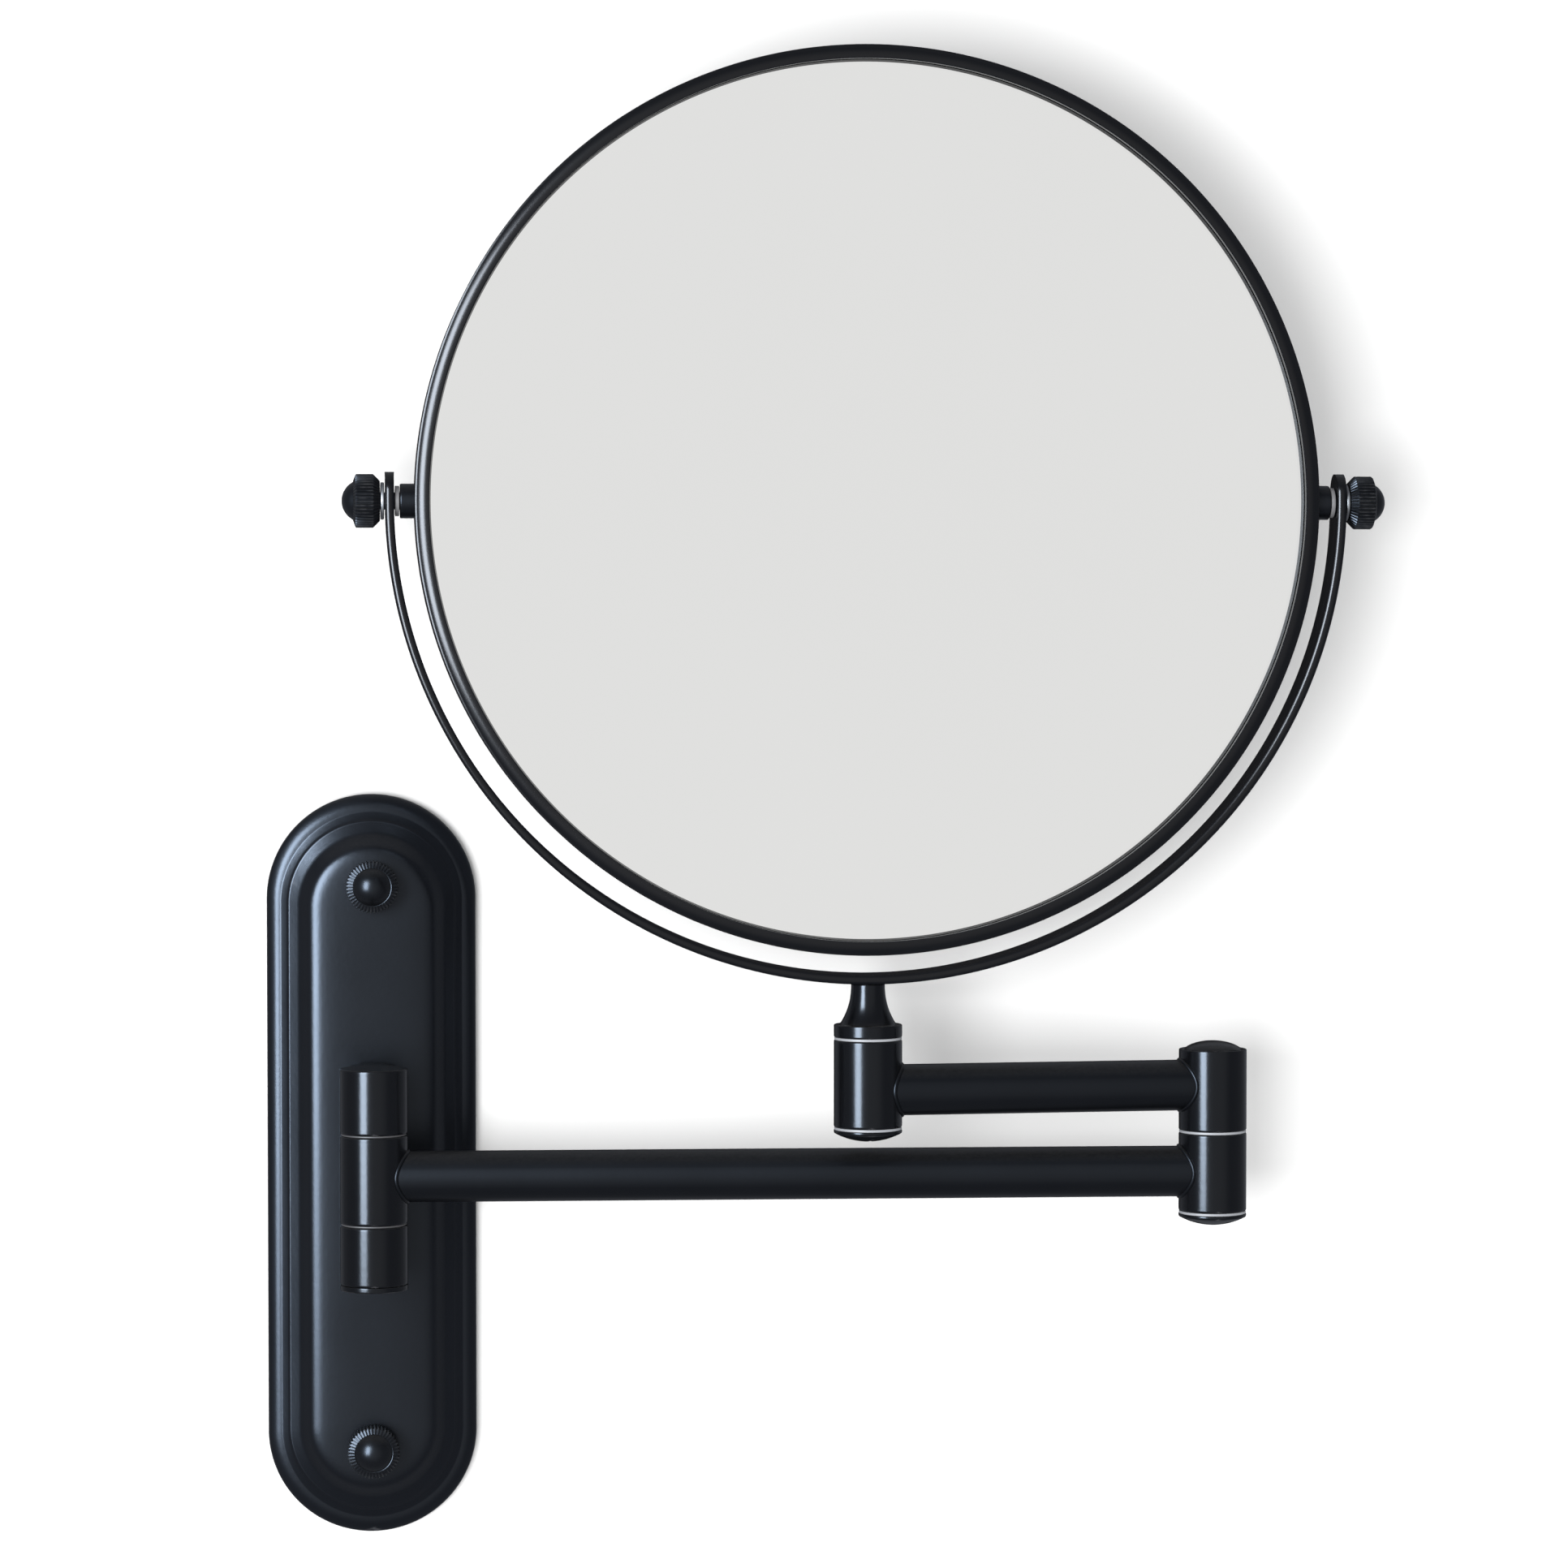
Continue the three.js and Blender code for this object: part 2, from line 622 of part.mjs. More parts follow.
piece("short_arm_stem_barrel", barrel(STEM_BARREL, bushBore), blackPaint, shortArm).position.x = SHORT_ARM;
piece("stem_bush", bush(STEM_BARREL), nylon, shortArm).position.x = SHORT_ARM;

// Stem and yoke, which swivel on the short arm. Turned back to face the room.
const yoke = new THREE.Group();
yoke.position.x = SHORT_ARM;
yoke.rotation.z = -Math.PI - SHORT_ARM_SWING;
shortArm.add(yoke);
const stemHead = STEM_BARREL[0] - WASHER - 2 * STACK_GAP;
piece("swivel_stem", swivelStem(), blackPaint, yoke);
piece("stem_upper_washer", washer(STEM_BARREL[1] + STACK_GAP), nylon, yoke);
piece("stem_lower_washer", washer(stemHead + STACK_GAP), nylon, yoke);
const stemBolt = slottedBolt(stemHead, STEM_BARREL[1] + 5, BARREL_R, BOLT_HEAD_RIM, BOLT_HEAD_DOME);
piece("stem_bolt", stemBolt, blackPaint, yoke);
const tiltAxis = new THREE.Group();
tiltAxis.position.z = MIRROR_Z;
yoke.add(tiltAxis);
piece("yoke_strip", yokeStrip(), blackPaint, tiltAxis);
piece("yoke_screw", yokeScrew(), steel, tiltAxis);

// Mirror, which tilts in the yoke.
piece("mirror_ring", towardsFront(mirrorRing()), blackPaint, tiltAxis);
piece("plain_mirror", towardsFront(plainGlass()), silvered, tiltAxis);
piece("magnifying_mirror", towardsFront(magnifyingGlass()), silvered, tiltAxis);
piece("spacer_ring", towardsFront(spacerRing()), greyPlastic, tiltAxis);
for (const [where, side] of [["left", -1], ["right", 1]]) {
  const boss = ringShape(PIVOT_SCREW_R + GAP, BOSS_R, [RING_R + GAP, BOSS_END], 0, SMALL);
  piece(`${where}_pivot_boss`, towardsSide(boss, side), blackPaint, tiltAxis);
  const inner = ringShape(PIVOT_SCREW_R + GAP, BOSS_R - 0.5, INNER_WASHER, 0, SMALL);
  piece(`${where}_inner_washer`, towardsSide(inner, side), nylon, tiltAxis);
  const outer = ringShape(PIVOT_SCREW_R + GAP, BOSS_R + 0.3, OUTER_WASHER, 0, SMALL);
  piece(`${where}_outer_washer`, towardsSide(outer, side), steel, tiltAxis);
  const tip = RING_R + 2 * GAP - KNOB_START;
  const shank = [[0, tip], [PIVOT_SCREW_R, tip], [PIVOT_SCREW_R, 0]];
  const knob = knurledHead(shank).translate(0, 0, KNOB_START);
  piece(`${where}_pivot_knob`, towardsSide(knob, side), blackPaint, tiltAxis);
}

export default part;
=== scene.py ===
"""The visual model of a wall-mounted extendable shaving mirror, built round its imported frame.

Metres, +Z up. The wall is the plane y = 0 and the mirror stands in front of it, towards -Y.
Pieces are modelled with Blender's own operators, in millimetres scaled by MM.
"""

import math

import bmesh
import bpy
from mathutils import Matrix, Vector


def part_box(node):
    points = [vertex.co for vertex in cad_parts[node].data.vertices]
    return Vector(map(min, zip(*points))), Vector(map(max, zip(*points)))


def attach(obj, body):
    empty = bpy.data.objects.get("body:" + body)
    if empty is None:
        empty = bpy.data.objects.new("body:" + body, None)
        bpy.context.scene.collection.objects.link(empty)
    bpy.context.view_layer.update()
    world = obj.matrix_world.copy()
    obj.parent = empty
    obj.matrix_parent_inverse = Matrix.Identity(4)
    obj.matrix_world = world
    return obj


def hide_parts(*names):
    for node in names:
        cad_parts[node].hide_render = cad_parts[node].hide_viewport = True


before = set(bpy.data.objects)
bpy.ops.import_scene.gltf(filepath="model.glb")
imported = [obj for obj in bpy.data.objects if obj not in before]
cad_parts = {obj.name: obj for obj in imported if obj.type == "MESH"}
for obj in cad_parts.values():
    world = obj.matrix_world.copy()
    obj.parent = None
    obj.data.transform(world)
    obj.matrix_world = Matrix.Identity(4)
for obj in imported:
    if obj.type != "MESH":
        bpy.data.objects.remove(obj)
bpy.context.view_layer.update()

MM = 0.001
FULL_TURN = 2 * math.pi
ROUND = 96  # facets round a barrel
SMALL_ROUND = 64  # facets round a pivot's small pieces

# Radii and edges that several pieces share, in millimetres.
BARREL_R = 8
BARREL_EDGE = 0.38
TUBE_R = 6
BOLT_HOLE_R = 3.3
PIVOT_HOLE_R = 2.3


# ---------------------------------------------------------------- camera

LENS = 111.8
CAMERA_AT = Vector((-14.68, -1175.15, 134.15)) * MM
CAMERA_YAW = 0.0972  # radians, to the right
CAMERA_PITCH = -0.0365


def place_camera():
    forward = Vector((
        math.sin(CAMERA_YAW) * math.cos(CAMERA_PITCH),
        math.cos(CAMERA_YAW) * math.cos(CAMERA_PITCH),
        math.sin(CAMERA_PITCH),
    ))
    camera = bpy.data.objects.new("camera", bpy.data.cameras.new("camera"))
    camera.data.lens = LENS
    camera.data.clip_end = 20
    camera.rotation_euler = forward.to_track_quat("-Z", "Y").to_euler()
    camera.location = CAMERA_AT
    bpy.context.collection.objects.link(camera)
    bpy.context.scene.camera = camera


place_camera()


# ---------------------------------------------------------------- modelling by hand

def nothing_selected():
    if bpy.context.object and bpy.context.object.mode != "OBJECT":
        bpy.ops.object.mode_set(mode="OBJECT")
    bpy.ops.object.select_all(action="DESELECT")


def only(piece):
    nothing_selected()
    piece.select_set(True)
    bpy.context.view_layer.objects.active = piece


def edit(mode="VERT"):
    bpy.ops.object.mode_set(mode="EDIT")
    bpy.ops.mesh.select_mode(type=mode)


def done():
    bpy.ops.object.mode_set(mode="OBJECT")


def pick(wanted, kind="verts"):
    """In edit mode, selects the vertices, edges or faces whose place passes a test."""
    bpy.ops.mesh.select_all(action="DESELECT")
    mesh = bpy.context.object.data
    shape = bmesh.from_edit_mesh(mesh)
    for item in getattr(shape, kind):
        if wanted(item):
            item.select_set(True)
    shape.select_flush(True)
    bmesh.update_edit_mesh(mesh)


def raised(height, widen):
    """Extrudes the selection up by some millimetres and then widens it by a factor."""
    bpy.ops.mesh.extrude_region_move(TRANSFORM_OT_translate={"value": (0, 0, height * MM)})
    if widen != 1.0:
        bpy.ops.transform.resize(value=(widen, widen, 1), center_override=(0, 0, 0))


def drawn(name, points):
    """Draws an outline point by point, in millimetres, and leaves it selected in edit mode."""
    nothing_selected()
    bpy.ops.mesh.primitive_plane_add(size=MM)
    piece = bpy.context.object
    piece.name = name
    edit()
    bpy.ops.mesh.merge(type="CENTER")
    bpy.ops.transform.translate(value=Vector(points[0]) * MM)
    for last, here in zip(points, points[1:]):
        step = (Vector(here) - Vector(last)) * MM
        bpy.ops.mesh.extrude_region_move(TRANSFORM_OT_translate={"value": step})
    bpy.ops.mesh.select_all(action="SELECT")
    bpy.ops.mesh.remove_doubles(threshold=1e-7)
    return piece


def supported(profile, edge):
    """Adds points close to the corners of a profile, so that its straight faces shade as straight."""
    points = []
    for start, end in zip(profile, profile[1:]):
        points.append(start)
        start, end = Vector(start), Vector(end)
        length = (end - start).length
        if length > 5 * edge:
            points += [start.lerp(end, share) for share in (1.6 * edge / length, 1 - 1.6 * edge / length)]
    return points + [profile[-1]]


def turned(name, profile, steps=ROUND, edge=0.0, closed=True):
    """A piece turned about Z from a profile of (radius, height) in millimetres. An edge width rounds
    its corners."""
    if edge:
        profile = supported(profile, edge)
    points = [(r, 0, z) for r, z in profile]
    piece = drawn(name, points + points[:1] if closed else points)
    bpy.ops.mesh.spin(steps=steps, angle=FULL_TURN, center=(0, 0, 0), axis=(0, 0, 1))
    bpy.ops.mesh.select_all(action="SELECT")
    bpy.ops.mesh.remove_doubles(threshold=1e-6)
    bpy.ops.mesh.normals_make_consistent(inside=False)
    done()
    if edge:
        softened(piece, edge)
    return piece


def softened(piece, width):
    """Rounds a piece's sharp edges."""
    only(piece)
    bevel = piece.modifiers.new("rounded", "BEVEL")
    bevel.width = width * MM
    bevel.segments = 3
    bevel.limit_method = "ANGLE"
    bevel.angle_limit = math.radians(30)
    bpy.ops.object.modifier_apply(modifier=bevel.name)
    return piece


def cut(piece, tool):
    """Cuts a piece with a tool, and throws the tool away."""
    only(piece)
    knife = piece.modifiers.new("cut", "BOOLEAN")
    knife.operation = "DIFFERENCE"
    knife.solver = "EXACT"
    knife.object = tool
    bpy.ops.object.modifier_apply(modifier=knife.name)
    bpy.data.objects.remove(tool)
    return piece


def joined(name, *pieces):
    only(pieces[0])
    for piece in pieces[1:]:
        piece.select_set(True)
    bpy.ops.object.join()
    pieces[0].name = name
    return pieces[0]


def block(size, at, edge):
    """A block of a given size, in millimetres, with rounded edges."""
    nothing_selected()
    bpy.ops.mesh.primitive_cube_add(size=MM, location=Vector(at) * MM)
    piece = bpy.context.object
    piece.scale = size
    bpy.ops.object.transform_apply(location=True, scale=True)
    return softened(piece, edge)


def turn_about(piece, degrees, axis):
    """Turns a piece about the origin, in its mesh."""
    only(piece)
    piece.rotation_euler = [math.radians(degrees) * (letter == axis) for letter in "XYZ"]
    bpy.ops.object.transform_apply(location=False, rotation=True, scale=False)
    return piece


def move_to(piece, at):
    """Moves a piece made at the origin to its place, in metres, in its mesh."""
    only(piece)
    piece.location = at
    bpy.ops.object.transform_apply(location=True, rotation=False, scale=False)
    return piece


def finished(piece, body, material, stands_for, smooth=32):
    """Gives a piece its material, and says what it rides on and which solids it stands for."""
    only(piece)
    bpy.ops.object.shade_smooth_by_angle(angle=math.radians(smooth))
    piece.data.materials.clear()
    piece.data.materials.append(material)
    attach(piece, body)
    for node in stands_for:
        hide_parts(node)
    return piece


def middle(node):
    low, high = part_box(node)
    return (Vector(low) + Vector(high)) / 2


def heights(node):
    """A node's lowest and highest z, in millimetres."""
    low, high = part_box(node)
    return low[2] / MM, high[2] / MM


def dome(radius, height, low, steps=10):
    """A shallow dome's profile, from its edge up to its top on the axis, in millimetres."""
    sphere = (radius**2 + height**2) / (2 * height)
    start = math.asin((sphere - height) / sphere)
    points = []
    for i in range(steps + 1):
        a = start + (math.pi / 2 - start) * i / steps
        r = sphere * math.cos(a) if i < steps else 0
        points.append((r, low + height - sphere + sphere * math.sin(a)))
    return points


# ---------------------------------------------------------------- shared finishes

def node_group(name, inputs, outputs):
    group = bpy.data.node_groups.new(name, "ShaderNodeTree")
    for label, kind, value in inputs:
        socket = group.interface.new_socket(name=label, in_out="INPUT", socket_type=kind)
        socket.default_value = value
    for label, kind in outputs:
        group.interface.new_socket(name=label, in_out="OUTPUT", socket_type=kind)
    nodes = group.nodes
    return group, nodes, group.links, nodes.new("NodeGroupInput"), nodes.new("NodeGroupOutput")


def number(nodes, links, operation, first, second, clamp=False):
    """A Math node fed by sockets or plain numbers."""
    node = nodes.new("ShaderNodeMath")
    node.operation = operation
    node.use_clamp = clamp
    for socket, value in zip(node.inputs, (first, second)):
        if isinstance(value, (int, float)):
            socket.default_value = value
        else:
            links.new(value, socket)
    return node.outputs[0]


def noise(nodes, links, place, scale, detail, roughness=0.5):
    node = nodes.new("ShaderNodeTexNoise")
    node.inputs["Detail"].default_value = detail
    node.inputs["Roughness"].default_value = roughness
    links.new(place, node.inputs["Vector"])
    if isinstance(scale, (int, float)):
        node.inputs["Scale"].default_value = scale
    else:
        links.new(scale, node.inputs["Scale"])
    return node.outputs["Fac"]


def make_paint_grain():
    """The fine orange-peel of sprayed paint, and slow changes of tone over a piece."""
    group, nodes, links, given, put = node_group(
        "paint_grain",
        [("Grain Scale", "NodeSocketFloat", 900.0), ("Patch Scale", "NodeSocketFloat", 30.0)],
        [("Grain", "NodeSocketFloat"), ("Patch", "NodeSocketFloat")],
    )
    place = nodes.new("ShaderNodeTexCoord").outputs["Object"]
    links.new(noise(nodes, links, place, given.outputs["Grain Scale"], 3.0), put.inputs["Grain"])
    links.new(noise(nodes, links, place, given.outputs["Patch Scale"], 4.0, 0.6), put.inputs["Patch"])
    return group


def make_rubbed_edges():
    """A mask of the edges that hands and tools rub, broken up by noise."""
    group, nodes, links, given, put = node_group(
        "rubbed_edges",
        [("Amount", "NodeSocketFloat", 0.5), ("Break Scale", "NodeSocketFloat", 350.0)],
        [("Mask", "NodeSocketFloat")],
    )
    place = nodes.new("ShaderNodeTexCoord").outputs["Object"]
    pointed = nodes.new("ShaderNodeNewGeometry").outputs["Pointiness"]
    edge = number(nodes, links, "MULTIPLY", number(nodes, links, "SUBTRACT", pointed, 0.53), 9.0, True)
    broken = noise(nodes, links, place, given.outputs["Break Scale"], 5.0, 0.7)
    worn = number(nodes, links, "MULTIPLY", number(nodes, links, "SUBTRACT", broken, 0.42), 4.0, True)
    mask = number(nodes, links, "MULTIPLY", edge, worn, True)
    links.new(number(nodes, links, "MULTIPLY", mask, given.outputs["Amount"], True), put.inputs["Mask"])
    return group


def make_settled_dust():
    """A mask of the faint dust on faces that look up."""
    group, nodes, links, given, put = node_group(
        "settled_dust",
        [("Amount", "NodeSocketFloat", 0.1)],
        [("Mask", "NodeSocketFloat")],
    )
    place = nodes.new("ShaderNodeTexCoord").outputs["Object"]
    split = nodes.new("ShaderNodeSeparateXYZ")
    links.new(nodes.new("ShaderNodeNewGeometry").outputs["Normal"], split.inputs[0])
    raised_z = number(nodes, links, "SUBTRACT", split.outputs["Z"], 0.45)
    up = number(nodes, links, "MULTIPLY", raised_z, 1.8, True)
    specks = noise(nodes, links, place, 1400.0, 4.0, 0.65)
    mask = number(nodes, links, "MULTIPLY", up, specks, True)
    links.new(number(nodes, links, "MULTIPLY", mask, given.outputs["Amount"], True), put.inputs["Mask"])
    return group


paint_grain = make_paint_grain()
rubbed_edges = make_rubbed_edges()
settled_dust = make_settled_dust()


def use_group(nodes, group, **values):
    node = nodes.new("ShaderNodeGroup")
    node.node_tree = group
    for label, value in values.items():
        node.inputs[label.replace("_", " ")].default_value = value
    return node


def blend_colours(nodes, links, mask, first, second):
    """Mixes two colours by a mask. Each colour is a socket or a plain colour."""
    node = nodes.new("ShaderNodeMix")
    node.data_type = "RGBA"
    links.new(mask, node.inputs["Factor"])
    for socket, colour in ((node.inputs[6], first), (node.inputs[7], second)):
        if isinstance(colour, tuple):
            socket.default_value = (*colour, 1)
        else:
            links.new(colour, socket)
    return node.outputs[2]


def between(nodes, links, value, low, high):
    """A value of 0 to 1 carried to another range."""
    node = nodes.new("ShaderNodeMapRange")
    node.inputs["To Min"].default_value = low
    node.inputs["To Max"].default_value = high
    links.new(value, node.inputs["Value"])
    return node.outputs[0]


def new_material(name):
    material = bpy.data.materials.new(name)
    material.use_nodes = True
    nodes = material.node_tree.nodes
    return material, nodes, material.node_tree.links, nodes["Principled BSDF"]


def surface_bump(nodes, links, height, depth, shader):
    bump = nodes.new("ShaderNodeBump")
    bump.inputs["Distance"].default_value = depth
    links.new(height, bump.inputs["Height"])
    links.new(bump.outputs[0], shader.inputs["Normal"])


BARE_METAL = (0.075, 0.077, 0.082)
DUST = (0.22, 0.215, 0.205)
BLUE_GLOSS = (0.76, 0.85, 1)  # the cold tint of the paint's gloss


def black_paint(name, roughness, specular, grain_depth, dark, light, tint=BLUE_GLOSS, wear=0.3, dust=0.05):
    """Black paint on metal: fine orange-peel, slow changes of tone, rubbed edges and a little dust."""
    material, nodes, links, shader = new_material(name)
    grain = use_group(nodes, paint_grain, Grain_Scale=900.0, Patch_Scale=28.0)
    edges = use_group(nodes, rubbed_edges, Amount=wear, Break_Scale=420.0)
    dusty = use_group(nodes, settled_dust, Amount=dust)
    tone = blend_colours(nodes, links, grain.outputs["Patch"], dark, light)
    tone = blend_colours(nodes, links, edges.outputs["Mask"], tone, BARE_METAL)
    tone = blend_colours(nodes, links, dusty.outputs["Mask"], tone, DUST)
    links.new(tone, shader.inputs["Base Color"])
    rough = between(nodes, links, grain.outputs["Patch"], roughness - 0.05, roughness + 0.05)
    rough = number(nodes, links, "ADD", rough, number(nodes, links, "MULTIPLY", dusty.outputs["Mask"], 1.5))
    links.new(rough, shader.inputs["Roughness"])
    shader.inputs["Specular IOR Level"].default_value = specular
    shader.inputs["Specular Tint"].default_value = (*tint, 1)
    surface_bump(nodes, links, grain.outputs["Grain"], grain_depth, shader)
    return material


def zinc_steel():
    """Bright zinc plating with a fine grain, dull patches and rubbed edges."""
    material, nodes, links, shader = new_material("zinc_steel")
    grain = use_group(nodes, paint_grain, Grain_Scale=1500.0, Patch_Scale=60.0)
    edges = use_group(nodes, rubbed_edges, Amount=0.6, Break_Scale=500.0)
    tone = blend_colours(nodes, links, grain.outputs["Patch"], (0.2, 0.2, 0.205), (0.34, 0.34, 0.345))
    tone = blend_colours(nodes, links, edges.outputs["Mask"], tone, (0.75, 0.75, 0.76))
    links.new(tone, shader.inputs["Base Color"])
    links.new(between(nodes, links, grain.outputs["Patch"], 0.36, 0.55), shader.inputs["Roughness"])
    shader.inputs["Metallic"].default_value = 1
    surface_bump(nodes, links, grain.outputs["Grain"], 0.00003, shader)
    return material


def moulded_plastic(name, dark, light, roughness):
    """Moulded plastic with a faint grain and patches, dulled by handling."""
    material, nodes, links, shader = new_material(name)
    grain = use_group(nodes, paint_grain, Grain_Scale=1300.0, Patch_Scale=90.0)
    dusty = use_group(nodes, settled_dust, Amount=0.1)
    tone = blend_colours(nodes, links, grain.outputs["Patch"], dark, light)
    tone = blend_colours(nodes, links, dusty.outputs["Mask"], tone, (0.3, 0.29, 0.28))
    links.new(tone, shader.inputs["Base Color"])
    rough = between(nodes, links, grain.outputs["Patch"], roughness - 0.06, roughness + 0.06)
    links.new(rough, shader.inputs["Roughness"])
    surface_bump(nodes, links, grain.outputs["Grain"], 0.00004, shader)
    return material


def silvered_glass():
    """Silvered glass with the faintest haze of wiping."""
    material, nodes, links, shader = new_material("silvered_glass")
    place = nodes.new("ShaderNodeTexCoord").outputs["Object"]
    stretched = nodes.new("ShaderNodeMapping")
    stretched.inputs["Rotation"].default_value = (0, math.radians(35), 0)
    stretched.inputs["Scale"].default_value = (1.0, 1.0, 5.0)
    links.new(place, stretched.inputs["Vector"])
    wiped = noise(nodes, links, stretched.outputs[0], 14.0, 4.0, 0.6)
    haze = noise(nodes, links, place, 9.0, 3.0, 0.5)
    tone = blend_colours(nodes, links, haze, (0.93, 0.93, 0.925), (0.955, 0.955, 0.95))
    links.new(tone, shader.inputs["Base Color"])
    links.new(between(nodes, links, wiped, 0.01, 0.035), shader.inputs["Roughness"])
    shader.inputs["Metallic"].default_value = 1
    return material


PLATE_PAINT = black_paint(
    "plate_paint", 0.3, 0.3, 0.00002, (0.0008, 0.0009, 0.0013), (0.0013, 0.0015, 0.0021), wear=0.35,
)
BARREL_PAINT = black_paint(
    "barrel_paint", 0.2, 0.23, 0.00001, (0.0008, 0.0009, 0.0012), (0.0014, 0.0015, 0.0019),
    tint=(0.84, 0.9, 1),
)
TUBE_PAINT = black_paint(
    "tube_paint", 0.34, 0.2, 0.00001, (0.0008, 0.0009, 0.0012), (0.0013, 0.0014, 0.0018), wear=0,
)
RING_PAINT = black_paint(
    "ring_paint", 0.22, 0.23, 0.000001, (0.0009, 0.0011, 0.0016), (0.0015, 0.0018, 0.0024),
    tint=(1, 0.97, 0.98), wear=0, dust=0.04,
)
KNOB_PAINT = black_paint(
    "knob_paint", 0.3, 0.24, 0.00001, (0.001, 0.0011, 0.0014), (0.0017, 0.0018, 0.0022),
)
ZINC = zinc_steel()
NYLON = moulded_plastic("white_nylon", (0.1, 0.105, 0.115), (0.13, 0.135, 0.145), 0.5)
# The white nylon darkened for the inner pivot washers: painted shade where they sit between boss and yoke.
SHADED_NYLON = moulded_plastic("nylon_with_painted_shade", (0.06, 0.06, 0.063), (0.09, 0.09, 0.094), 0.45)
ACETAL = moulded_plastic("dark_acetal", (0.02, 0.02, 0.022), (0.03, 0.03, 0.032), 0.5)
MIRROR = silvered_glass()


# ---------------------------------------------------------------- wall plate

PLATE_SECTION = [  # inset from the outline and depth below the middle
    (0.0, 9.4), (0.15, 8.9), (0.3, 8.64), (0.5, 8.4), (0.8, 8.12), (1.2, 7.82), (1.6, 7.57), (1.9, 7.42),
    (2.2, 7.3), (2.5, 7.2), (2.9, 7.11), (3.2, 7.06), (3.35, 7.03), (3.5, 6.96), (4.6, 6.3), (4.75, 6.2),
    (5.0, 5.98), (5.2, 5.78), (5.3, 5.73), (5.4, 5.7), (5.5, 5.65), (6.4, 5.15), (7.2, 4.73), (7.6, 4.49),
    (7.8, 4.32), (8.1, 4.0), (8.8, 3.12), (9.4, 2.28), (9.8, 1.77), (10.1, 1.45), (10.4, 1.2), (10.8, 0.98),
    (11.3, 0.78), (11.9, 0.6), (12.5, 0.47), (13.2, 0.37), (14.5, 0.24), (16.5, 0.12), (19.5, 0.03),
    (22.0, 0.0),
]
END_STRETCH = 0.2  # the steps are this much longer at the ends than at the sides
PLATE_SHEET = 1.2  # thickness of the metal


def stamped_plate():
    """Draws the oblong plate as if lying on a bench, an outline inset and raised step by step, then
    stands it against the wall."""
    low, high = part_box("wall_plate")
    half_width = (high[0] - low[0]) / 2 / MM
    straight = (high[2] - low[2]) / 2 / MM - half_width
    rim, top = -high[1] / MM, -low[1] / MM
    nothing_selected()
    bpy.ops.mesh.primitive_circle_add(vertices=130, radius=half_width * MM, fill_type="NGON")
    plate = bpy.context.object
    plate.name = "stamped_plate"
    edit()
    for side in (1, -1):
        pick(lambda v: v.co.y * side > 0)
        bpy.ops.transform.translate(value=(0, side * straight * MM, 0))
    bpy.ops.mesh.select_all(action="SELECT")
    bpy.ops.transform.translate(value=(0, 0, rim * MM))
    last_inset, last_out = 0.0, rim
    for inset, depth in PLATE_SECTION:
        out = top - depth
        edit("FACE")
        pick(lambda f: f.calc_center_median().z > (last_out - 0.01) * MM and len(f.verts) > 4, "faces")
        step_in, step_out = inset - last_inset, out - last_out
        if step_in == 0:
            bpy.ops.mesh.extrude_region_move(TRANSFORM_OT_translate={"value": (0, 0, step_out * MM)})
        else:
            bpy.ops.mesh.inset(thickness=step_in * MM, depth=step_out * MM)
            edit()
            for side in (1, -1):
                pick(lambda v: v.co.y * side > 0 and v.co.z > (out - 0.01) * MM)
                bpy.ops.transform.translate(value=(0, -side * END_STRETCH * step_in * MM, 0))
        last_inset, last_out = inset, out
    edit("FACE")
    pick(lambda f: f.calc_center_median().z < (rim + 0.01) * MM and len(f.verts) > 4, "faces")
    bpy.ops.mesh.delete(type="ONLY_FACE")
    done()
    only(plate)
    sheet = plate.modifiers.new("sheet", "SOLIDIFY")
    sheet.thickness = PLATE_SHEET * MM
    sheet.offset = -1
    bpy.ops.object.modifier_apply(modifier=sheet.name)
    turn_about(plate, 90, "X")
    return finished(plate, "wall_mount", PLATE_PAINT, ["wall_plate"], smooth=40)


# ---------------------------------------------------------------- knurled heads

TEETH = 44
HEAD = [  # radius and height of each ring of a knurled head, chamfered side first
    (4.65, 0.0), (6.0, 1.35), (6.2, 1.6), (6.2, 5.35), (6.05, 5.6), (4.6, 6.15), (4.45, 6.1),
]
HEAD_TOP = 8.8
HEAD_DOME_R = 4.4
GROOVED_FROM = 5.9  # radius past which the side is pressed in for the grooves
GROOVE = 0.945


def knurled_head(name):
    """A knurled head about Z: a disc raised ring by ring, with every other pair of side lines pressed
    in for the teeth, and a dome on top."""
    nothing_selected()
    bpy.ops.mesh.primitive_circle_add(vertices=TEETH * 4, radius=HEAD[0][0] * MM, fill_type="NGON")
    head = bpy.context.object
    head.name = name
    edit("FACE")
    bpy.ops.mesh.select_all(action="SELECT")
    shoulder = HEAD[-1][1]
    rings = HEAD + dome(HEAD_DOME_R, HEAD_TOP - shoulder, shoulder)[1:-1]
    for (r0, z0), (r1, z1) in zip(rings, rings[1:]):
        raised(z1 - z0, r1 / r0)
    bpy.ops.mesh.poke()
    bpy.ops.mesh.select_all(action="SELECT")
    bpy.ops.mesh.normals_make_consistent(inside=False)
    edit()

    def in_a_groove(v):
        side = math.hypot(v.co.x, v.co.y) > GROOVED_FROM * MM
        step = round(math.atan2(v.co.y, v.co.x) / FULL_TURN * TEETH * 4) % 4
        return side and step in (0, 1)

    pick(in_a_groove)
    bpy.ops.transform.resize(value=(GROOVE, GROOVE, 1), center_override=(0, 0, 0))
    done()
    return head


def dome_nuts():
    for where in ("upper", "lower"):
        node = f"{where}_dome_nut"
        nut = turn_about(knurled_head(f"{where}_knurled_nut"), 90, "X")
        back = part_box(node)[1][1]
        move_to(nut, (middle(node).x, back, middle(node).z))
        finished(nut, "wall_mount", KNOB_PAINT, [node], smooth=28)


# ---------------------------------------------------------------- barrels, bolts and washers

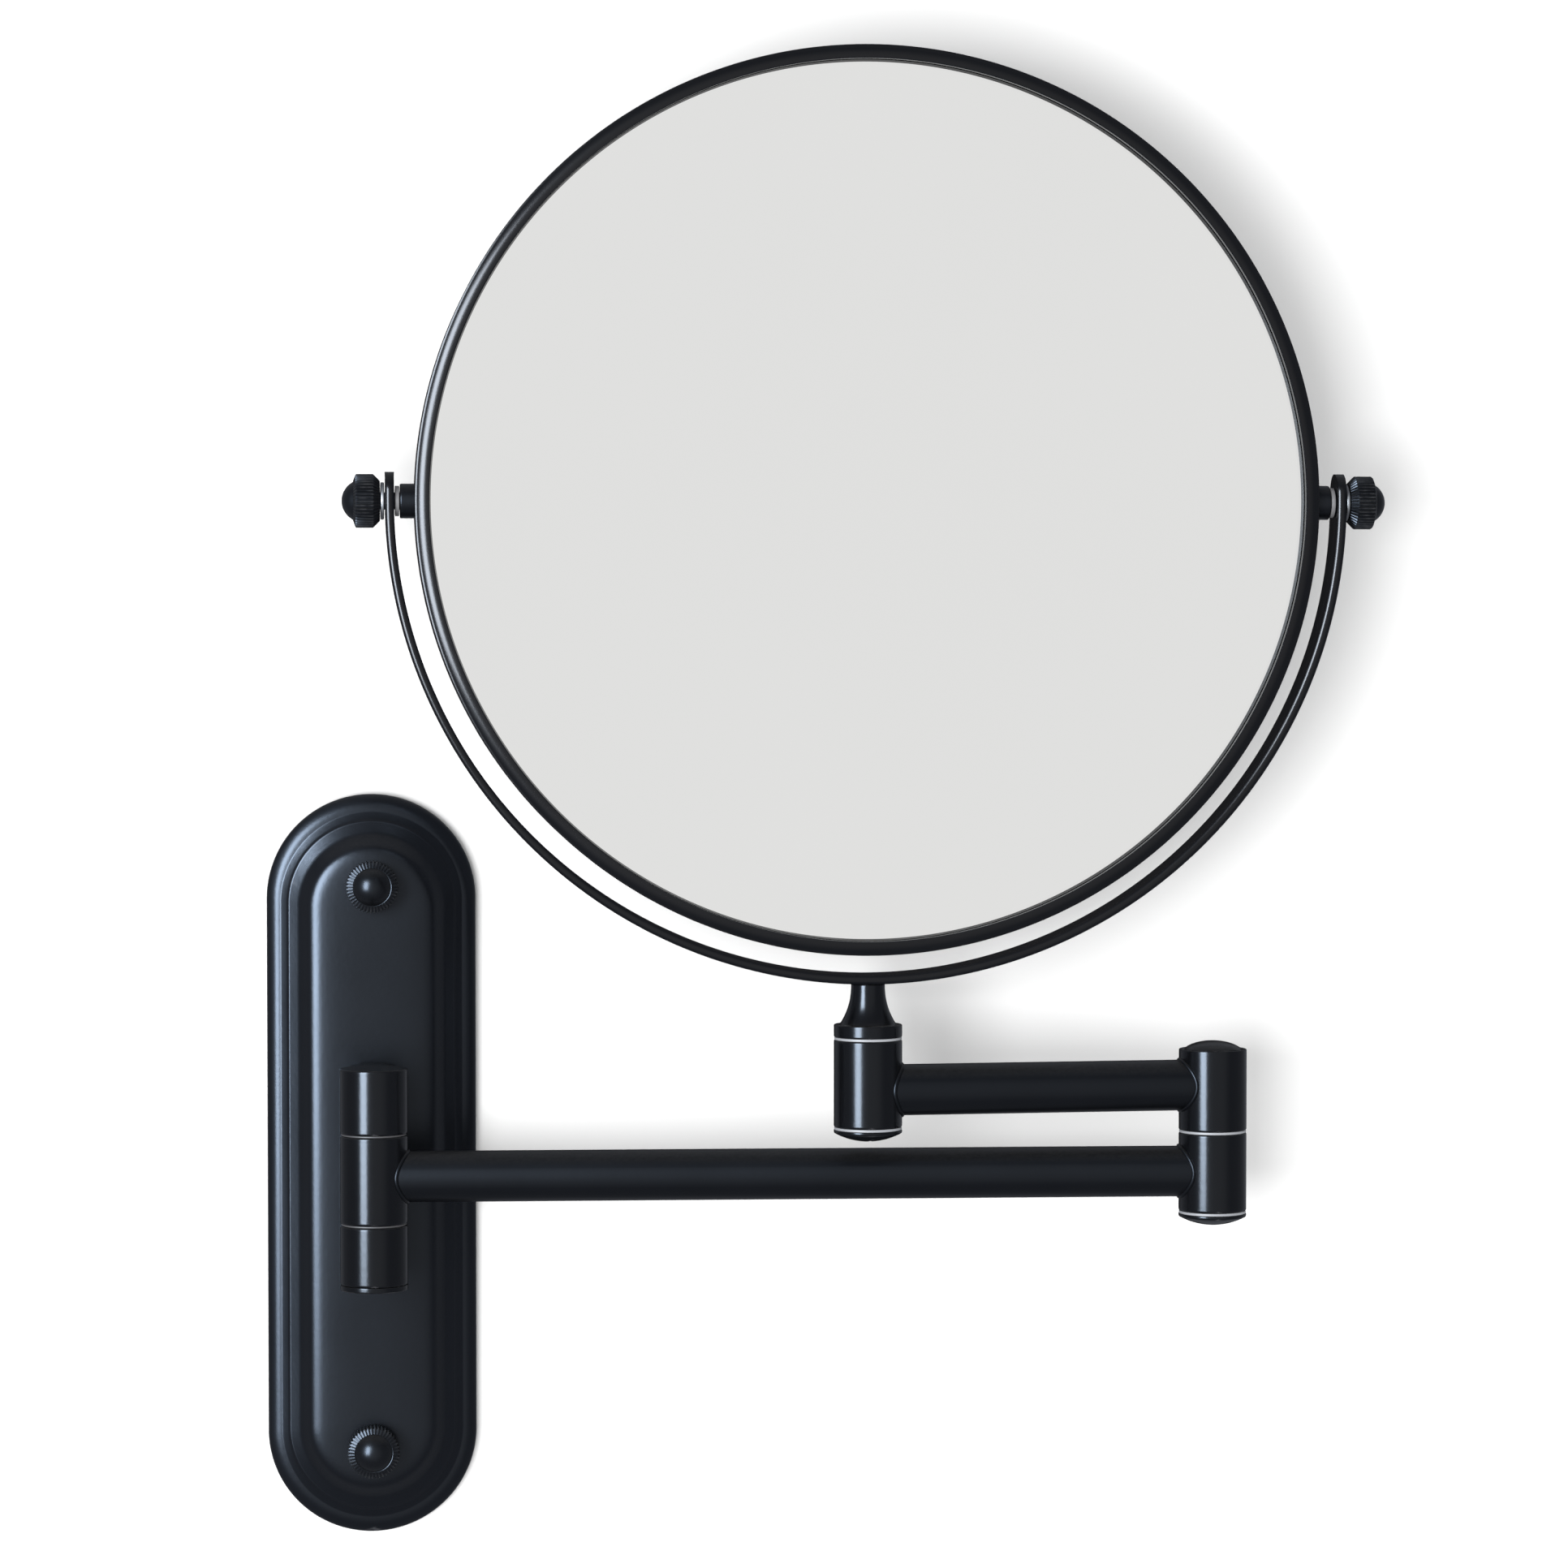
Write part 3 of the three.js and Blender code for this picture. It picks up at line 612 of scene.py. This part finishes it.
def axis_of(node):
    """The place of a node's upright axis, at z = 0."""
    return Vector((middle(node).x, middle(node).y, 0))


BARREL_BORE_R = 4.5


def barrel(node, body):
    """A turned tube with rounded rims."""
    low, high = heights(node)
    profile = [(BARREL_BORE_R, low), (BARREL_R, low), (BARREL_R, high), (BARREL_BORE_R, high)]
    piece = move_to(turned(node + "_turned", profile, edge=BARREL_EDGE), axis_of(node))
    return finished(piece, body, BARREL_PAINT, [node])


ELBOW_BORE = 14  # depth of the bolt's bore
LIP_R = 7.25
LIP_FOOT_R = 7.1
SOCKET_R = 5


def elbow_barrel():
    """The closed barrel at the elbow, with a lip that the cap sits inside."""
    node = "short_arm_elbow_barrel"
    low, high = heights(node)
    bore, seat, socket = low + ELBOW_BORE, high - 0.5, high - 3
    profile = [(0, bore), (BOLT_HOLE_R, bore), (BOLT_HOLE_R, low), (BARREL_R, low), (BARREL_R, high),
               (LIP_R, high), (LIP_FOOT_R, seat), (SOCKET_R, seat), (SOCKET_R, socket), (0, socket)]
    piece = move_to(turned(node + "_turned", profile, edge=0.3, closed=False), axis_of(node))
    return finished(piece, "short_arm", BARREL_PAINT, [node])


CAP_R = 6.8
CAP_PLUG_R = 4.7
CAP_SUNK = 0.45  # how far the cap's rim sits below the barrel's lip


def elbow_cap():
    """A plug with a cushion-shaped top, its rim sunk inside the barrel's lip."""
    low, high = heights("elbow_cap")
    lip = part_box("short_arm_elbow_barrel")[1][2] / MM
    rim = lip - CAP_SUNK
    profile = [(0, low), (CAP_PLUG_R, low), (CAP_PLUG_R, rim), (CAP_R, rim)]
    start = math.radians(25)
    steps = 14
    for i in range(steps + 1):
        a = start + (math.pi / 2 - start) * i / steps
        swell = (math.sin(a) - math.sin(start)) / (1 - math.sin(start))
        profile.append((CAP_R * math.cos(a) / math.cos(start), lip + (high - lip) * swell))
    cap = move_to(turned("domed_cap", profile, closed=False), axis_of("elbow_cap"))
    return finished(cap, "short_arm", BARREL_PAINT, ["elbow_cap"], smooth=40)


BOLT_HEAD_R = 7.85
BOLT_SHANK_R = 3
SLOT = (1.3, 22, 2.2)  # width, length and depth of a screwdriver slot


def hung_bolt(node, body, rim, bulge=0, slot_turn=0):
    """A bolt that hangs head down. A head that bulges is domed and crossed by a screwdriver slot."""
    low, high = heights(node)
    head = low + bulge + rim
    if bulge:
        crown = [(r, low + bulge - (z - low)) for r, z in reversed(dome(BOLT_HEAD_R, bulge, low, 12))]
    else:
        crown = [(0, low), (BOLT_HEAD_R, low)]
    profile = crown + [(BARREL_R, head - rim + 0.15), (BARREL_R, head), (BOLT_SHANK_R, head),
                       (BOLT_SHANK_R, high), (0, high)]
    bolt = turned(node + "_turned", profile, edge=0.18, closed=False)
    if bulge:
        slot = block(SLOT, (0, 0, low), 0.1)
        turn_about(slot, slot_turn, "Z")
        cut(bolt, slot)
    move_to(bolt, axis_of(node))
    return finished(bolt, body, BARREL_PAINT, [node])


def washer(node, body, material, radius=7.9):
    low, high = heights(node)
    profile = [(BOLT_HOLE_R, low), (radius, low), (radius, high), (BOLT_HOLE_R, high)]
    piece = turned(node + "_turned", profile, edge=0.12)
    move_to(piece, axis_of(node))
    return finished(piece, body, material, [node])


FOOT_WIDTH = 12
FOOT_DEPTH = 3.5
NECK_WIDTH = 9


def hinge_bracket():
    """Two knuckles on necks that stand on one foot, cast as one piece."""
    low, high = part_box("hinge_bracket")
    reach = middle("hinge_bolt").y / MM
    back = high[1] / MM
    bottom, top = low[2] / MM, high[2] / MM
    inner = heights("lower_hinge_washer")[0] - 0.05, heights("upper_hinge_washer")[1] + 0.05
    foot_at = (0, back - FOOT_DEPTH / 2, (top + bottom) / 2)
    foot = block((FOOT_WIDTH, FOOT_DEPTH, top - bottom - 2.4), foot_at, 1.2)
    pieces = []
    for face, end in ((inner[0], bottom), (inner[1], top)):
        near, far = sorted((face, end))
        profile = [(0, near), (BARREL_R, near), (BARREL_R, far), (0, far)]
        knuckle = turned("knuckle", profile, edge=BARREL_EDGE, closed=False)
        move_to(knuckle, (0, reach * MM, 0))
        neck_at = (0, (back + reach) / 2, (near + far) / 2)
        neck = block((NECK_WIDTH, back - reach, far - near - 1.2), neck_at, 1.6)
        pieces += [knuckle, neck]
    bracket = joined("cast_bracket", foot, *pieces)
    return finished(bracket, "wall_mount", BARREL_PAINT, ["hinge_bracket"])


# ---------------------------------------------------------------- arm tubes

TUBE_WALL = 1.0
BEAD_R = 0.5


def saddle_bead():
    """The braze round a tube's end, a thin bead where it runs into a barrel. Made along X."""
    spline_points = []
    for i in range(ROUND):
        a = FULL_TURN * i / ROUND
        y, z = TUBE_R * math.cos(a), TUBE_R * math.sin(a)
        spline_points.append((math.sqrt(BARREL_R**2 - y**2), y, z))
    nothing_selected()
    curve = bpy.data.curves.new("braze", "CURVE")
    curve.dimensions = "3D"
    curve.bevel_depth = BEAD_R * MM
    curve.bevel_resolution = 3
    spline = curve.splines.new("POLY")
    spline.points.add(ROUND - 1)
    spline.use_cyclic_u = True
    for point, place in zip(spline.points, spline_points):
        point.co = (*(Vector(place) * MM), 1)
    braze = bpy.data.objects.new("braze", curve)
    bpy.context.collection.objects.link(braze)
    only(braze)
    bpy.ops.object.convert(target="MESH")
    return bpy.context.object


def arm_tube(node, body, start_node, end_node):
    """A drawn tube brazed between two barrels."""
    start, end = axis_of(start_node), axis_of(end_node)
    length = (end - start).length / MM
    height = middle(node).z
    heading = math.degrees(math.atan2(end.y - start.y, end.x - start.x))
    nothing_selected()
    bpy.ops.mesh.primitive_cylinder_add(vertices=80, radius=TUBE_R * MM, depth=length * MM)
    tube = bpy.context.object
    tube.name = node + "_drawn"
    edit("FACE")
    pick(lambda f: abs(f.normal.z) > 0.9, "faces")
    bpy.ops.mesh.inset(thickness=TUBE_WALL * MM)
    done()
    turn_about(tube, 90, "Y")
    move_to(tube, (length / 2 * MM, 0, 0))
    inside = (BARREL_R - 0.2) * MM
    for x in (0, length):
        nothing_selected()
        bpy.ops.mesh.primitive_cylinder_add(
            vertices=ROUND, radius=inside, depth=30 * MM, location=(x * MM, 0, 0),
        )
        cut(tube, bpy.context.object)
    near = saddle_bead()
    far = turn_about(saddle_bead(), 180, "Z")
    move_to(far, (length * MM, 0, 0))
    tube = joined(tube.name, tube, near, far)
    turn_about(tube, heading, "Z")
    move_to(tube, (start.x, start.y, height))
    return finished(tube, body, TUBE_PAINT, [node], smooth=40)


# ---------------------------------------------------------------- stem and yoke

NECK_TOP_R = 3.95
NECK_FLARE = 2.7  # how much wider the neck is at its foot
COLLAR = 2.9  # height of the collar


def swivel_stem():
    """A collar below a concave neck that narrows to meet the yoke."""
    low, high = heights("swivel_stem")
    collar, top, bore = low + COLLAR, high + 0.2, low + 5
    neck = []
    steps = 16
    for i in range(steps + 1):
        t = i / steps
        neck.append((NECK_TOP_R + NECK_FLARE * (1 - t) ** 2.3, collar + (top - collar) * t))
    neck.append((0, top))
    profile = [(0, bore), (BOLT_HOLE_R, bore), (BOLT_HOLE_R, low), (BARREL_R, low), (BARREL_R, collar),
               (6.9, collar)] + neck
    stem = move_to(turned("turned_stem", profile, edge=0.3, closed=False), axis_of("swivel_stem"))
    return finished(stem, "yoke", BARREL_PAINT, ["swivel_stem"], smooth=40)


def tilt_axis():
    return (middle("left_pivot_boss") + middle("right_pivot_boss")) / 2


YOKE_CROWN = 1.45  # the radius of the strip's domed edges
YOKE_THICK = 2.2


def yoke_strip():
    """A flat strip with domed edges, rolled to a half circle, its ends drawn up past the pivots and
    rounded off."""
    low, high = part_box("yoke_strip")
    outer = (high[0] - low[0]) / 2 / MM
    depth = (high[1] - low[1]) / MM
    tip = (high[2] - tilt_axis().z) / MM
    crown = []
    for i in range(-6, 7):
        x = (YOKE_THICK / 2 - 0.1) * i / 6
        crown.append((x, depth / 2 - YOKE_CROWN + math.sqrt(YOKE_CROWN**2 - x**2)))
    crown.append((YOKE_THICK / 2, crown[-1][1] - 0.25))
    section = crown + [(-x, -y) for x, y in crown]
    middle_line = -(outer - YOKE_THICK / 2)
    points = [(middle_line + x, y, 0) for x, y in section]
    strip = drawn("rolled_yoke", points + points[:1])
    bpy.ops.mesh.edge_face_add()
    edit("FACE")
    bpy.ops.mesh.select_all(action="SELECT")
    bpy.ops.mesh.spin(steps=180, angle=math.pi, center=(0, 0, 0), axis=(0, 1, 0))
    for side in (-1, 1):
        pick(lambda f: len(f.verts) > 4 and f.calc_center_median().x * side > 0, "faces")
        reached, wide = 0.0, 1.0
        flat = tip - depth / 2
        for angle in range(0, 91, 9):
            height = flat + depth / 2 * math.sin(math.radians(angle))
            width = max(math.cos(math.radians(angle)), 0.12)
            step = (0, 0, (height - reached) * MM)
            bpy.ops.mesh.extrude_region_move(TRANSFORM_OT_translate={"value": step})
            bpy.ops.transform.resize(value=(1, width / wide, 1), center_override=(0, 0, 0))
            reached, wide = height, width
    bpy.ops.mesh.select_all(action="SELECT")
    bpy.ops.mesh.remove_doubles(threshold=1e-6)
    bpy.ops.mesh.normals_make_consistent(inside=False)
    done()
    nothing_selected()
    bpy.ops.mesh.primitive_cylinder_add(
        vertices=32, radius=PIVOT_HOLE_R * MM, depth=240 * MM, rotation=(0, math.pi / 2, 0),
    )
    cut(strip, bpy.context.object)
    move_to(strip, tilt_axis())
    return finished(strip, "yoke", RING_PAINT, ["yoke_strip"], smooth=40)


# ---------------------------------------------------------------- mirror

def facing(piece, axis_at):
    """Stands a piece turned about Z so that its top faces the room."""
    turn_about(piece, 90, "X")
    return move_to(piece, axis_at)


RING_CROWN = 4.75  # the radius of the curve across the ring's faces
RING_LIP = 3.3  # how far the ring reaches over the glass
RING_WALL = 1.2
RING_CORNER = 0.35  # the radius of its outer edges


def mirror_ring():
    """A rolled ring. Its faces fall away from the glass in a shallow curve to a tight outer edge."""
    low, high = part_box("mirror_ring")
    outer = (high[0] - low[0]) / 2 / MM
    half = (high[1] - low[1]) / 2 / MM
    opening, inside, seat = outer - RING_LIP, outer - RING_WALL, half - 1.8
    crown = []
    for i in range(9):
        a = math.radians(4.5 * i)
        crown.append((opening + 0.2 + RING_CROWN * math.sin(a), half - RING_CROWN * (1 - math.cos(a))))
    corner_r, corner_z = outer - RING_CORNER, crown[-1][1] - 0.28
    for i in range(1, 6):
        a = math.radians(54 - 10.8 * i)
        crown.append((corner_r + RING_CORNER * math.cos(a), corner_z + RING_CORNER * math.sin(a)))
    front = [(opening, seat), (opening, half - 0.25)] + crown
    back = [(r, -z) for r, z in reversed(front)]
    inner = [(inside, -seat), (inside, seat)]
    ring = turned("rolled_ring", front + back + inner, steps=360)
    facing(ring, tilt_axis())
    return finished(ring, "mirror", RING_PAINT, ["mirror_ring"], smooth=35)


SLOPE_WIDTH = 3.2
SLOPE_DEPTH = 0.35
BOWL_SAG = 5.0
BOWL_THICK = 2.0


def plain_mirror():
    """The plain glass, with a narrow polished slope round its edge."""
    low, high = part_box("plain_mirror")
    radius = (high[0] - low[0]) / 2 / MM
    centre = tilt_axis().y
    front, back = (centre - low[1]) / MM, (centre - high[1]) / MM
    profile = [(0, back), (radius, back), (radius, front - SLOPE_DEPTH), (radius - SLOPE_WIDTH, front),
               (0, front)]
    glass = turned("plain_glass", profile, steps=192, closed=False)
    facing(glass, tilt_axis())
    return finished(glass, "mirror", MIRROR, ["plain_mirror"], smooth=4)


def magnifying_mirror():
    """The magnifying glass, a shallow bowl hollow towards the back."""
    low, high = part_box("magnifying_mirror")
    radius = (high[0] - low[0]) / 2 / MM
    centre = tilt_axis().y
    rim = (centre - high[1]) / MM
    sphere = (radius**2 + BOWL_SAG**2) / (2 * BOWL_SAG)
    hollow = []
    steps = 24
    for i in range(steps + 1):
        r = radius * i / steps
        hollow.append((r, rim + BOWL_SAG - (sphere - math.sqrt(sphere**2 - r**2))))
    profile = hollow + [(r, z + BOWL_THICK) for r, z in reversed(hollow)]
    glass = turned("bowl_glass", profile, steps=192, closed=False)
    facing(glass, tilt_axis())
    return finished(glass, "mirror", MIRROR, ["magnifying_mirror"], smooth=30)


# ---------------------------------------------------------------- pivots

def sideways(piece, side, at):
    """Lays a piece made about Z along X, its top pointing to one side."""
    turn_about(piece, 90 * side, "Y")
    return move_to(piece, at)


BOSS_R = 4
SHANK_R = 2


def pivot(where, side):
    """One side's boss, washers and knurled screw, from the ring outwards."""
    centre = tilt_axis()

    def span(node):
        low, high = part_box(node)
        ends = sorted(abs(x - centre.x) / MM for x in (low[0], high[0]))
        return ends[0], ends[1]

    near, far = span(f"{where}_pivot_boss")
    root = near - 1.2
    profile = [(PIVOT_HOLE_R, root), (BOSS_R, root), (BOSS_R, far), (PIVOT_HOLE_R, far)]
    boss = sideways(turned(f"{where}_turned_boss", profile, steps=SMALL_ROUND, edge=0.3), side, centre)
    finished(boss, "mirror", KNOB_PAINT, [f"{where}_pivot_boss"])
    # The inner washers take the darkened nylon, painted shade between boss and yoke.
    for place, radius, material, slot in (("inner", 3.5, SHADED_NYLON, "nylon"), ("outer", 4.3, ZINC, "steel")):
        node = f"{where}_{place}_washer"
        near, far = span(node)
        profile = [(PIVOT_HOLE_R, near), (radius, near), (radius, far), (PIVOT_HOLE_R, far)]
        ring = sideways(turned(f"{where}_{place}_ring", profile, steps=SMALL_ROUND, edge=0.2), side, centre)
        finished(ring, "yoke", material, [node])
    node = f"{where}_pivot_knob"
    near, far = span(node)
    head = knurled_head(f"{where}_knurled_knob")
    move_to(head, (0, 0, (far - HEAD_TOP) * MM))
    end = far - HEAD_TOP + 0.5
    profile = [(0, near), (SHANK_R, near), (SHANK_R, end), (0, end)]
    shank = turned("shank", profile, steps=32, edge=0.2, closed=False)
    knob = sideways(joined(f"{where}_knurled_knob", head, shank), side, centre)
    return finished(knob, f"{where}_knob", KNOB_PAINT, [node], smooth=28)


# ---------------------------------------------------------------- making it

def keep_with(material, *nodes):
    """Gives solids that keep their shape a better material."""
    for node in nodes:
        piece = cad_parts[node]
        piece.data.materials.clear()
        piece.data.materials.append(material)


stamped_plate()
dome_nuts()
hinge_bracket()
for each in ("upper_hinge_washer", "lower_hinge_washer"):
    washer(each, "wall_mount", ACETAL, 7.6)
hung_bolt("hinge_bolt", "wall_mount", rim=1.25)
barrel("long_arm_hinge_barrel", "long_arm")
barrel("long_arm_elbow_barrel", "long_arm")
arm_tube("long_arm_tube", "long_arm", "long_arm_hinge_barrel", "long_arm_elbow_barrel")
elbow_barrel()
elbow_cap()
for each in ("elbow_upper_washer", "elbow_lower_washer"):
    washer(each, "short_arm", NYLON)
hung_bolt("elbow_bolt", "short_arm", rim=0.8, bulge=2, slot_turn=35)
barrel("short_arm_stem_barrel", "short_arm")
arm_tube("short_arm_tube", "short_arm", "short_arm_elbow_barrel", "short_arm_stem_barrel")
swivel_stem()
for each in ("stem_upper_washer", "stem_lower_washer"):
    washer(each, "yoke", NYLON)
hung_bolt("stem_bolt", "yoke", rim=0.8, bulge=2, slot_turn=10)
yoke_strip()
mirror_ring()
plain_mirror()
magnifying_mirror()
pivot("left", -1)
pivot("right", 1)
keep_with(ZINC, "mounting_bar", "upper_stud", "lower_stud", "upper_bracket_screw", "lower_bracket_screw",
          "yoke_screw")
keep_with(NYLON, "hinge_bush", "elbow_bush", "stem_bush")
keep_with(ACETAL, "spacer_ring")


# ---------------------------------------------------------------- wall, light and air

WALL_TONE = 0.34
WALL_SIZE = 6  # metres
WALL_GAP = 0.0006  # metres between the wall and the object's back
ROOM_ON_WALL = (2.35, 2.35, 2.35)  # how bright the room is for what it lights
ROOM_AHEAD = (0.79, 0.79, 0.785)  # and where it is reflected: straight ahead,
ROOM_SIDES = (0.27, 0.285, 0.32)  # at the sides,
ROOM_BEHIND = (0.03, 0.03, 0.033)  # and towards the wall
WHITE = (1.0, 1.0, 1.0)
LIT_POINT = Vector((0.08, -0.03, 0.06))  # the point that the softboxes face


def backdrop():
    """A white wall, solid from the room and clear from behind, so that the back of the object shows."""
    nothing_selected()
    bpy.ops.mesh.primitive_plane_add(size=WALL_SIZE, location=(0, WALL_GAP, 0), rotation=(math.pi / 2, 0, 0))
    wall = bpy.context.object
    wall.name = "backdrop"
    bpy.ops.object.transform_apply(location=True, rotation=True)
    material, nodes, links, shader = new_material("white_wall")
    shader.inputs["Base Color"].default_value = (WALL_TONE, WALL_TONE, WALL_TONE, 1)
    shader.inputs["Roughness"].default_value = 1
    shader.inputs["Specular IOR Level"].default_value = 0
    either = nodes.new("ShaderNodeMixShader")
    links.new(nodes.new("ShaderNodeNewGeometry").outputs["Backfacing"], either.inputs[0])
    links.new(shader.outputs[0], either.inputs[1])
    links.new(nodes.new("ShaderNodeBsdfTransparent").outputs[0], either.inputs[2])
    links.new(either.outputs[0], nodes["Material Output"].inputs["Surface"])
    wall.data.materials.append(material)
    wall.visible_diffuse = False
    wall.visible_glossy = False


def softbox(name, bearing, height, distance, size, power, colour=WHITE):
    """A softbox at a bearing left of straight ahead, in degrees, that faces the object."""
    turn = math.radians(bearing)
    at = LIT_POINT + Vector((-math.sin(turn) * distance, -math.cos(turn) * distance, height))
    lamp = bpy.data.lights.new(name, "AREA")
    lamp.shape = "RECTANGLE"
    lamp.size, lamp.size_y = size
    lamp.energy = power
    lamp.color = colour
    holder = bpy.data.objects.new(name, lamp)
    holder.location = at
    holder.rotation_euler = (LIT_POINT - at).to_track_quat("-Z", "Y").to_euler()
    bpy.context.collection.objects.link(holder)
    return holder


def surroundings():
    """A pale room: bright to the wall, white to the camera, and a soft grey where it is reflected,
    paler straight ahead than at the sides and dark towards the wall."""
    world = bpy.data.worlds.new("room")
    world.use_nodes = True
    world.cycles.sampling_method = "NONE"
    bpy.context.scene.world = world
    nodes, links = world.node_tree.nodes, world.node_tree.links
    nodes.clear()
    split = nodes.new("ShaderNodeSeparateXYZ")
    links.new(nodes.new("ShaderNodeTexCoord").outputs["Generated"], split.inputs[0])

    def towards(start, end):
        """How far a direction points along Y, from 0 at the start to 1 at the end."""
        reach = nodes.new("ShaderNodeMapRange")
        reach.interpolation_type = "SMOOTHSTEP"
        reach.inputs["From Min"].default_value = start
        reach.inputs["From Max"].default_value = end
        links.new(split.outputs["Y"], reach.inputs["Value"])
        return reach.outputs[0]

    reflected = blend_colours(nodes, links, towards(-0.6, -0.96), ROOM_SIDES, ROOM_AHEAD)
    reflected = blend_colours(nodes, links, towards(0.8, 0.95), reflected, ROOM_BEHIND)
    kinds = nodes.new("ShaderNodeLightPath")
    colour = blend_colours(nodes, links, kinds.outputs["Is Glossy Ray"], ROOM_ON_WALL, reflected)
    colour = blend_colours(nodes, links, kinds.outputs["Is Camera Ray"], colour, WHITE)
    air = nodes.new("ShaderNodeBackground")
    links.new(colour, air.inputs["Color"])
    links.new(air.outputs[0], nodes.new("ShaderNodeOutputWorld").inputs["Surface"])


backdrop()
side_light = softbox(
    "side_softbox", bearing=38, height=0.19, distance=1.2, size=(0.46, 0.88), power=58, colour=(0.8, 0.9, 1),
)
side_light.visible_diffuse = False  # it only draws the bright lines along the barrels and the ring
front_light = softbox(
    "front_softbox", bearing=21, height=-0.06, distance=1.3, size=(0.6, 0.5), power=38,
)
front_light.visible_glossy = False  # it only casts the soft shadows on the wall
surroundings()
bpy.context.scene.view_settings.view_transform = "Standard"
